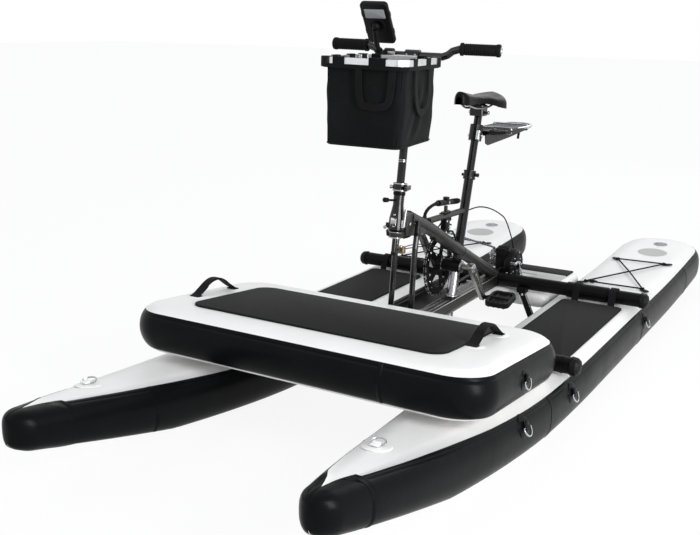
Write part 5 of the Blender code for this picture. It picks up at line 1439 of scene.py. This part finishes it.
def make_frame_fittings():
    def collar(bm):
        low = seat_point(0.4515)
        spot = low + seat_axis() * 0.015
        add_tube(bm, [spot + shift(0.0195, 0.004), spot + shift(0.029, 0.004)], 0.0062, 14)
        add_bolt(bm, spot + shift(0.029, 0.004), (1, 0, 0), 0.0072, 0.004)
        for height in (0.002, 0.026):
            add_band(bm, low + seat_axis() * height, seat_axis(), (0.0205, 0.0222), (0.0, 0.003), 28)
    piece("collar_bolt", "craft", [DARK_CHROME], collar)

    def stand(bm):
        add_band(bm, seat_point(0.052), seat_axis(), (0.0172, 0.0184), (0.0, 0.118), 32)
    piece("stand_sleeve", "craft", [STEEL], stand)

    def leg_feet(bm):
        foot = [(-0.002, 0.0088), (-0.002, 0.0150), (0.004, 0.0145), (0.007, 0.0105), (0.007, 0.0088)]
        for sign in (1, -1):
            add_turned(bm, foot, at(sign * 0.036, -0.1625, 0.053), (0, 0.08, 1), 20, bored=True)
        for sign in (1, -1):
            for x in BEAM_BANDS:
                add_band(bm, at(sign * x, *BEAMS[0]), (1, 0, 0), (0.0252, 0.0264), (-0.003, 0.003), 28)
    piece("leg_feet", "craft", [SATIN_BLACK], leg_feet)

    def straps(bm):
        # Webbing that ties each beam down to its float
        for station, height in BEAMS:
            reach, low = STRAP_END
            section = [(reach, low)]
            for k in range(15):
                angle = math.pi * k / 14
                section.append((STRAP_RADIUS * math.cos(angle), height + STRAP_RADIUS * math.sin(angle)))
            section.append((-reach, low))
            for sign in (1, -1):
                for x in STRAP_PLACES:
                    wide = shift(STRAP_HALF_WIDTH)
                    rings = []
                    for y, z in section:
                        out = Vector((0, y, z - height)).normalized() * 0.0016
                        base = at(sign * x, station + y, z)
                        rings.append([base - wide, base - wide + out, base + wide + out, base + wide])
                    add_skin(bm, rings)
    piece("beam_straps", "craft", [WEB], straps)

    def cap_rings(bm):
        ring = [(0.0, 0.0240), (0.0, 0.0281), (0.004, 0.0283), (0.0055, 0.0270), (0.0055, 0.0240)]
        for station, height in BEAMS:
            for sign in (1, -1):
                add_turned(bm, ring, at(sign * BEAM_END, station, height), (sign, 0, 0), 32, bored=True)
    piece("cap_rings", "craft", [SATIN_BLACK], cap_rings)

    def keel_highlights_and_foot(bm):
        # Bright steel strips along the extrusion's edges and top are painted highlights, and the seat tube's
        # foot
        for x in (0.0235, -0.0235):
            for height in (0.0495, 0.0105):
                add_block(bm, at(x, 0.231, height), (0.0024, 0.735, 0.0022), bevel=0.0009)
        for x in (-0.009, 0.009):
            for station, length in ((0.04, 0.30), (0.44, 0.27)):
                add_block(bm, at(x, station, 0.0504), (0.002, length, 0.0014), bevel=0.0006)
        ring = [(0.0, 0.0170), (0.0, 0.0235), (0.003, 0.0225), (0.005, 0.0180), (0.005, 0.0170)]
        add_turned(bm, ring, seat_point(0.0545), seat_axis(), 24, bored=True)
        stub = [(0.0, 0.0083), (0.0, 0.0094), (0.070, 0.0094), (0.0735, 0.0078), (0.0735, 0.002)]
        add_turned(bm, stub, at(0, 0.226, 0.0075), (0, 0, -1), 20, 1)
    piece("keel_painted_highlights_and_foot", "craft", [STEEL, POLISHED], keel_highlights_and_foot)

    def stay_edges(bm):
        for sign in (1, -1):
            start = at(sign * 0.128, 0.58, 0.008)
            end = at(sign * 0.182, 0.58, -0.105)
            along = (end - start).normalized()
            across = Vector((along.z, 0, -along.x)) * sign
            for edge in (-1, 1):
                offset = across * (edge * 0.0115) + shift(0, -0.0054)
                add_tube(bm, [start + along * 0.012 + offset, end - along * 0.002 + offset], 0.0012, 6)
            add_bolt(bm, start + along * 0.012 + shift(0, -0.005), (0, -1, 0))
    piece("stay_edges", "craft", [STEEL], stay_edges)


# The drive

CRANK_SPOT = (0.222, 0.165)
CRANK_LENGTH = 0.165
CRANK_ANGLE = math.radians(-50.0)
CRANK_ARM_X = 0.074
CHAINWHEEL_X = -0.05
CHAINWHEEL_RADIUS = 0.108
GEAR_Y = 0.716
GEAR_Z = 0.068
GEAR_RADIUS = 0.061
FIFTH_TURN = 1.2566
SHAFT_SPOT = (GEAR_Y, 0.098)
SPROCKET_RADIUS = 0.024
CHAIN_PITCH = 0.0127
CHAIN_HEIGHT = 0.0042
PLATE_RADIUS = 0.0034
PLATE_WAIST = 0.0023
PLATE_HALF_THICK = 0.00045
# How far the outer and the inner plates lie from the chain's middle, and its pins' and rollers' half lengths,
# radii and sides
PLATE_REACH = (0.0036, 0.0026)
PIN_AND_ROLLER = ((0.0043, 0.0017, 8), (0.0021, 0.0031, 10))
BOLT_CIRCLE = 0.0865
SMALL_BOLT_CIRCLE = 0.0930
LEVER_PIN = (0, 0.15, 0.397)
PEDAL_HALF = (0.044, 0.048)
PEDAL_TILT = math.radians(12)


def belt():
    """Pin places of the chain."""
    big, small = CHAINWHEEL_RADIUS + CHAIN_HEIGHT, SPROCKET_RADIUS + CHAIN_HEIGHT
    crank, shaft = Vector(CRANK_SPOT), Vector(SHAFT_SPOT)
    span = Vector((SHAFT_SPOT[0] - CRANK_SPOT[0], SHAFT_SPOT[1] - CRANK_SPOT[1]))
    base = math.atan2(span.y, span.x)
    spread = math.acos((big - small) / span.length)
    run = math.sqrt(span.length ** 2 - (big - small) ** 2)
    big_arc = big * (2 * math.pi - 2 * spread)
    small_arc = small * 2 * spread
    total = big_arc + small_arc + 2 * run
    pins = 2 * round(total / CHAIN_PITCH / 2)

    def way(angle):
        return Vector((math.cos(angle), math.sin(angle)))

    def line(centre, radius, angle, s):
        normal = way(angle)
        return centre + normal * radius + Vector((-normal.y, normal.x)) * s

    def spot(s):
        if s < big_arc:
            return crank + way(base + spread + s / big) * big
        s -= big_arc
        angle = base + 2 * math.pi - spread
        if s < run:
            return line(crank, big, angle, s)
        s -= run
        if s < small_arc:
            return shaft + way(angle + s / small) * small
        return line(shaft, small, base + spread, s - small_arc)
    return [spot(total * k / pins) for k in range(pins)]


def make_chain():
    pins = belt()

    def half_eye(along, across, centre, start):
        """Seven points round one end of a link plate."""
        out = []
        for t in range(7):
            angle = start + math.pi * t / 6
            reach = centre + PLATE_RADIUS * math.cos(angle)
            out.append(along * reach + across * (PLATE_RADIUS * math.sin(angle)))
        return out

    def build(bm):
        for k, here in enumerate(pins):
            there = pins[(k + 1) % len(pins)]
            along = (there - here).normalized()
            across = Vector((-along.y, along.x))
            length = (there - here).length
            outline = half_eye(along, across, 0.0, math.pi / 2)
            outline.append(along * (length / 2) - across * PLATE_WAIST)
            outline += half_eye(along, across, length, -math.pi / 2)
            outline.append(along * (length / 2) + across * PLATE_WAIST)
            for side in (1, -1):
                x = CHAINWHEEL_X + side * PLATE_REACH[k % 2]
                rings = []
                for off in (-PLATE_HALF_THICK, PLATE_HALF_THICK):
                    rings.append([at(x + off, *(here + spot)) for spot in outline])
                add_skin(bm, rings, index=k % 2)
            for half, radius, sides in PIN_AND_ROLLER:
                ends = [at(CHAINWHEEL_X + off, *here) for off in (-half, half)]
                add_tube(bm, ends, radius, sides, 1)
    piece("roller_chain", "craft", [STEEL, SATIN_BLACK], build, ["chain"], 35.0)


def make_crank():
    centre = at(0, *CRANK_SPOT)
    arm_way = Vector((0, math.cos(CRANK_ANGLE), math.sin(CRANK_ANGLE)))
    side_way = Vector((0, -math.sin(CRANK_ANGLE), math.cos(CRANK_ANGLE)))

    def caps(bm):
        cap = [(0.0, 0.0150), (0.0018, 0.0145), (0.0022, 0.0115), (0.0012, 0.0110), (0.0012, 0.0085),
               (0.0040, 0.0080), (0.0046, 0.0055), (0.0040, 0.0)]
        socket = [(0.0, 0.0085), (0.002, 0.0082), (0.002, 0.0040), (0.0008, 0.0035), (0.0008, 0.0)]
        for side in (1, -1):
            add_turned(bm, cap, centre + shift(side * (CRANK_ARM_X + 0.0065)), (side, 0, 0), 28)
            eye = centre + arm_way * (side * CRANK_LENGTH) + shift(side * (CRANK_ARM_X - 0.0065))
            add_turned(bm, socket, eye, (-side, 0, 0), 20)
            # A shallow raised rib along each arm
            middle = centre + arm_way * (side * CRANK_LENGTH * 0.5) + shift(side * (CRANK_ARM_X + 0.0067))
            turn = Matrix((arm_way, side_way, Vector((1, 0, 0)))).transposed()
            add_block(bm, middle, (CRANK_LENGTH * 0.62, 0.0120, 0.0026), turn, 0.0012, 1)
    piece("crank_caps", "crank", [POLISHED, FORGED], caps)

    def wheel_bolts(bm):
        middle = centre + shift(CHAINWHEEL_X)
        for k in range(5):
            angle = 2 * math.pi * k / 5
            spot = middle + Vector((0, math.cos(angle), math.sin(angle))) * BOLT_CIRCLE
            for side in (1, -1):
                add_bolt(bm, spot + shift(side * 0.0014), (side, 0, 0), 0.0050, 0.0028)
            small = middle + Vector((0, math.cos(angle + 0.3), math.sin(angle + 0.3))) * SMALL_BOLT_CIRCLE
            add_bolt(bm, small + shift(0.0014), (1, 0, 0), 0.0026, 0.0014)
        # The spider's boss, and a raised ring on the chainwheel
        boss = [(0.0014, 0.0300), (0.0040, 0.0285), (0.0075, 0.0200), (0.0130, 0.0165), (0.0130, 0.0090),
                (0.0014, 0.0090)]
        add_turned(bm, boss, middle, (1, 0, 0), 28, 1, bored=True)
        ring = [(0.0015, 0.0835), (0.0026, 0.0840), (0.0026, 0.0885), (0.0015, 0.0890)]
        add_turned(bm, ring, middle, (1, 0, 0), 60, 1, bored=True)
    piece("chainwheel_bolts", "crank", [POLISHED, SATIN_BLACK], wheel_bolts, smooth=35.0)

    def bracket_cups(bm):
        cup = [(0.0330, 0.0100), (0.0330, 0.0205), (0.0360, 0.0205), (0.0385, 0.0175), (0.0385, 0.0100)]
        for side in (1, -1):
            add_turned(bm, cup, centre, (side, 0, 0), 24, bored=True)
    piece("bracket_cups", "craft", [FORGED], bracket_cups)

    for hand, side in SIDES:
        end = centre + arm_way * (side * CRANK_LENGTH) + shift(side * CRANK_ARM_X)
        make_pedal(hand, end + shift(side) * 0.0068, shift(side))


def make_pedal(hand, start, out):
    middle = start + out * 0.062
    turn = Matrix.Rotation(PEDAL_TILT, 3, "X")
    body = hand + "_pedal"
    node = "pedal_" + hand

    def spot(u, v, height):
        return middle + turn @ Vector((u, v, height))

    def level(height, inset, corner):
        outline = rounded_outline(PEDAL_HALF[0] - inset, PEDAL_HALF[1] - inset, corner, 8)
        return [spot(u, v, height) for u, v in outline]

    def pedal(bm):
        outer = ((-0.009, 0.0022), (-0.0075, 0.0), (0.0075, 0.0), (0.009, 0.0022))
        inner = ((0.009, 0.0085), (0.0075, 0.0100), (-0.0075, 0.0100), (-0.009, 0.0085))
        rings = [level(height, inset, 0.018 - inset * 0.5) for height, inset in outer]
        rings += [level(height, inset, 0.013) for height, inset in inner]
        add_skin(bm, rings, closed=True)
        # Cage bars, the platform and the axle's barrel
        for u in (-0.020, 0.020):
            add_block(bm, spot(u, 0, 0), (0.007, 0.078, 0.011), turn, 0.0015)
        add_block(bm, spot(0, 0, 0), (0.070, 0.018, 0.0165), turn, 0.004)
        add_block(bm, spot(0, 0, -0.001), (0.070, 0.078, 0.009), turn, 0.002)
        barrel = [(0.0, 0.0075), (0.012, 0.0075), (0.013, 0.0095), (0.020, 0.0105), (0.100, 0.0095),
                  (0.104, 0.006)]
        add_turned(bm, barrel, start, out, 20, 1)
        # Studs, and a reflector on each long side
        for v in (-0.047, 0.047):
            for u in (-0.028, -0.0093, 0.0093, 0.028):
                for h in (-1, 1):
                    add_block(bm, spot(u, v * 0.93, h * 0.0095), (0.006, 0.0035, 0.0028), turn, 0.0008)
        for v in (-1, 1):
            add_block(bm, spot(0, v * 0.0474, 0), (0.036, 0.0026, 0.009), turn, 0.001, 2)
    piece("pedal_cage_" + hand, body, [PLASTIC, SATIN_BLACK, RUBBER], pedal, [node])

    def edge(bm):
        path = [spot(u, v, 0.0090) for u, v in rounded_outline(0.0432, 0.0472, 0.018, 8)[2:15]]
        add_tube(bm, path, 0.0014, 8)
    piece("pedal_edge_" + hand, body, [FORGED], edge)


def make_gear_fittings():
    drum = at(0, GEAR_Y, GEAR_Z)

    def fittings(bm):
        for x in (0.030, 0.037, 0.044):
            radii = (GEAR_RADIUS - 0.002, GEAR_RADIUS + 0.0018)
            add_band(bm, drum + shift(x), (1, 0, 0), radii, (-0.0012, 0.0012), 48)
        for radius in (0.047, 0.052):
            ring = [(0.0550, radius - 0.0011), (0.0575, radius - 0.0008), (0.0575, radius + 0.0008),
                    (0.0550, radius + 0.0011)]
            add_turned(bm, ring, drum, (1, 0, 0), 48, bored=True)
        for k in range(6):
            angle = math.pi * k / 3 + 0.3
            spot = drum + shift(0.0555, 0.0495 * math.cos(angle), 0.0495 * math.sin(angle))
            add_bolt(bm, spot, (1, 0, 0), 0.0040, 0.0040, 1)
        for k in range(5):
            spot = drum + shift(0.0615, 0.026 * math.cos(k * FIFTH_TURN), 0.026 * math.sin(k * FIFTH_TURN))
            add_bolt(bm, spot, (1, 0, 0), 0.0028, 0.0025, 1)
        # The ribbed block in front of the drum
        for k in range(6):
            rib = at(0.004, 0.6655 + 0.0062 * k, 0.126 + 0.0012 * k)
            add_block(bm, rib, (0.040, 0.0030, 0.022), bevel=0.0010)
        add_block(bm, at(0.004, 0.681, 0.117), (0.034, 0.036, 0.014), bevel=0.002)
        # The bright bent bracket round the housing's left side
        path = ((0.650, 0.088), (0.672, 0.090), (0.694, 0.086), (0.702, 0.070), (0.708, 0.050),
                (0.722, 0.040), (0.732, 0.022))
        for (y0, z0), (y1, z1) in zip(path[:-1], path[1:]):
            length = math.hypot(y1 - y0, z1 - z0) + 0.004
            turn = Matrix.Rotation(math.atan2(z1 - z0, y1 - y0), 3, "X")
            add_block(bm, at(0.0705, (y0 + y1) / 2, (z0 + z1) / 2), (0.0030, length, 0.0105), turn, 0.0010, 1)
        add_block(bm, at(0.061, 0.651, 0.0885), (0.022, 0.003, 0.011), bevel=0.001, index=1)
        for y, z in ((0.656, 0.089), (0.693, 0.084), (0.706, 0.056), (0.729, 0.028)):
            add_bolt(bm, at(0.0718, y, z), (1, 0, 0), 0.0052, 0.0045, 1)
        add_block(bm, at(0.050, 0.648, 0.0475), (0.012, 0.026, 0.006), bevel=0.001, index=1)
        for x, y in ((0.036, 0.660), (-0.036, 0.660), (0.036, 0.686), (-0.036, 0.686)):
            add_bolt(bm, at(x, y, 0.0455), (0, 0, 1), 0.0055, 0.005, 1)
    piece("gear_fittings", "craft", [PLASTIC, POLISHED], fittings)


def make_lever_fittings():
    def cable_ends(bm):
        sleeve = [(0.0, 0.0030), (0.014, 0.0036), (0.018, 0.0050), (0.024, 0.0050)]
        add_turned(bm, sleeve, at(0.004, 0.7985, 0.124), (0.02, 0.0, -1), 12)
        add_block(bm, at(0.005, 0.797, 0.099), (0.012, 0.014, 0.016), bevel=0.002)
        add_block(bm, at(0.004, 0.785, 0.095), (0.010, 0.026, 0.008), bevel=0.002)
        cone = [(0.0, 0.0030), (0.016, 0.0038), (0.018, 0.0038)]
        add_turned(bm, cone, at(0, 0.336, 0.3405), (0, -1, 0.02), 12)
        nut = [(0.0, 0.0070), (0.012, 0.0070), (0.014, 0.0056)]
        add_turned(bm, nut, at(0, 0.0705, 0.4034), (0, 1, 0), 14)
        boot = [(0.0, 0.0072), (0.010, 0.0068), (0.012, 0.0056)]
        add_turned(bm, boot, at(0, -0.010, 0.366), (0, 0.1, 1), 14)
    piece("cable_ends", "craft", [PLASTIC], cable_ends)

    def lever_pin(bm):
        pin = at(*LEVER_PIN)
        add_tube(bm, [pin + shift(-0.0125), pin + shift(0.0125)], 0.0035)
        for sign in (1, -1):
            add_bolt(bm, pin + shift(sign * 0.012), (sign, 0, 0), 0.0055, 0.003)
        for k in range(8):
            spot = pin + shift(0, 0.045 + 0.006 * k, -0.0045 - 0.0006 * k)
            add_band(bm, spot, (0, 1, -0.1), (0.0080, 0.0098), (-0.0012, 0.0012), 18, 1)
    piece("lever_pin", "release", [STEEL, RUBBER], lever_pin)

    def pedestal_plate(bm):
        base = at(0, 0.15, 0.3615)
        add_block(bm, base, (0.026, 0.050, 0.003), bevel=0.001)
        for y in (-0.018, 0.018):
            add_bolt(bm, base + shift(0, y, 0.0035), (0, 0, 1), 0.0042, 0.003, 1)
    piece("pedestal_plate", "craft", [SATIN_BLACK, STEEL], pedestal_plate)


# Finishes of the CAD pieces that stay, by their material and then by their own name

FINISH = {
    "tube_black": BLACK_PAINT, "polished": POLISHED, "black_plastic": PLASTIC, "black_rubber": RUBBER,
    "rim_aluminium": BRUSHED, "bronze": BRONZE, "keel_grey": KEEL, "webbing": WEB, "bag_cloth": BAG,
    "eva_foam": EVA, "hull_pvc": WHITE_PVC,
}
OWN_FINISH = (
    (FRAME_GREY, ("main_tube_front", "main_tube_rear", "upper_tube")),
    (FORGED, ("crankset", "drive_leg")),
    (STEEL, ("leg_sleeve", "gear_sprocket")),
    (PLASTIC, ("gearbox", "phone_mount")),
    (DARK_CHROME, ("seat_collar", "seat_lever", "post_clamp", "post_lever", "rack_clamp")),
    (SATIN_BLACK, ("chainwheel", "front_beam", "rear_beam", "rear_rack", "beam_stay_left", "beam_stay_right",
                   "bottom_bracket")),
)


def finish_nodes():
    own = {name: paint for paint, names in OWN_FINISH for name in names}
    for name, node in NODES.items():
        kind = node.data.materials[0].name.split(".")[0] if node.data.materials else "tube_black"
        for slot in node.material_slots:
            slot.link = "OBJECT"
            slot.material = own.get(name, FINISH.get(kind, BLACK_PAINT))


# Floor, light and camera

LAMPS = (("key", (-1.6, -3.4, 3.4), (0.0, -0.4, 0.3), 2.6, 2.0, 20),
         ("side", (3.8, -0.8, 2.4), (0.3, 0.2, 0.2), 1.6, 2.8, 6),
         ("back", (0.6, 4.2, 2.8), (0.0, 0.6, 0.4), 2.6, 1.8, 26),
         ("strip", (3.4, -1.7, 1.4), (0.1, -0.3, 0.4), 1.0, 2.2, 115))


def seen_directly(tree):
    """1 for what the camera sees directly, in a reflection or through glass, and 0 for light on its way."""
    path = tree.nodes.new("ShaderNodeLightPath")
    total = path.outputs["Is Camera Ray"]
    for name in ("Is Glossy Ray", "Is Transmission Ray"):
        larger = tree.nodes.new("ShaderNodeMath")
        larger.operation = "MAXIMUM"
        tree.links.new(total, larger.inputs[0])
        tree.links.new(path.outputs[name], larger.inputs[1])
        total = larger.outputs[0]
    return total


def mix_into(tree, factor, first, second, target):
    """Mix two shaders by a factor, and show the mix on a new output of a kind."""
    mix = tree.nodes.new("ShaderNodeMixShader")
    for index, source in enumerate((factor, first, second)):
        tree.links.new(source, mix.inputs[index])
    tree.links.new(mix.outputs[0], tree.nodes.new(target).inputs["Surface"])


def lit_paint(name, colour, share):
    """A pale stage material that looks light to the camera and still takes the object's shadow."""
    made = bpy.data.materials.new(name)
    made.use_nodes = True
    tree = made.node_tree
    tree.nodes.clear()
    diffuse = tree.nodes.new("ShaderNodeBsdfDiffuse")
    diffuse.inputs["Color"].default_value = (*colour, 1.0)
    glow = tree.nodes.new("ShaderNodeEmission")
    glow.inputs["Strength"].default_value = 1.0
    much = tree.nodes.new("ShaderNodeMath")
    much.operation = "MULTIPLY"
    much.inputs[1].default_value = share
    tree.links.new(seen_directly(tree), much.inputs[0])
    mix_into(tree, much.outputs[0], diffuse.outputs[0], glow.outputs[0], "ShaderNodeOutputMaterial")
    return made


def make_world():
    world = bpy.data.worlds.new("studio")
    bpy.context.scene.world = world
    world.use_nodes = True
    tree = world.node_tree
    tree.nodes.clear()
    backs = []
    for colour, strength in (((0.95, 0.97, 1.0, 1.0), 0.78), ((1.0, 1.0, 1.0, 1.0), 1.0)):
        back = tree.nodes.new("ShaderNodeBackground")
        back.inputs["Color"].default_value = colour
        back.inputs["Strength"].default_value = strength
        backs.append(back.outputs[0])
    mix_into(tree, seen_directly(tree), *backs, "ShaderNodeOutputWorld")


def make_stage():
    bm = bmesh.new()
    size = 30.0
    for x, y in ((-size, -size), (size, -size), (size, size), (-size, size)):
        bm.verts.new((x, y, -0.0005))
    bm.faces.new(bm.verts)
    floor = mesh_object("studio_floor", bm, [lit_paint("studio_floor", (0.92, 0.92, 0.92), 0.90)])
    make_world()
    for name, place, target, wide, tall, power in LAMPS:
        lamp = bpy.data.lights.new(name, "AREA")
        lamp.shape = "RECTANGLE"
        lamp.size = wide
        lamp.size_y = tall
        lamp.energy = power
        made = bpy.data.objects.new(name, lamp)
        made.location = place
        made.rotation_euler = (Vector(target) - Vector(place)).to_track_quat("-Z", "Y").to_euler()
        bpy.context.scene.collection.objects.link(made)


def make_camera():
    right = Vector((math.cos(CAMERA_YAW), math.sin(CAMERA_YAW), 0))
    level = math.cos(CAMERA_PITCH)
    forward = Vector((-math.sin(CAMERA_YAW) * level, math.cos(CAMERA_YAW) * level, -math.sin(CAMERA_PITCH)))
    down = forward.cross(right)
    turned_right = right * math.cos(CAMERA_ROLL) + down * math.sin(CAMERA_ROLL)
    turned_down = down * math.cos(CAMERA_ROLL) - right * math.sin(CAMERA_ROLL)
    lens = bpy.data.cameras.new("photo")
    lens.sensor_width = 36
    lens.lens = CAMERA_LENS
    made = bpy.data.objects.new("photo", lens)
    bpy.context.scene.collection.objects.link(made)
    turn = Matrix((turned_right, -turned_down, -forward)).transposed().to_4x4()
    made.matrix_world = Matrix.Translation(at(*CAMERA_PLACE)) @ turn
    bpy.context.scene.camera = made


make_camera()
finish_nodes()
for hand, _ in SIDES:
    make_hull(hand)
make_float_fittings()
make_deck()
make_rear_panel()
make_bungees()
make_basket()
make_cockpit()
make_saddle()
make_rack_trim()
make_steering_fittings()
make_frame_fittings()
make_chain()
make_crank()
make_gear_fittings()
make_lever_fittings()
make_stage()
bpy.context.scene.view_settings.view_transform = "Standard"
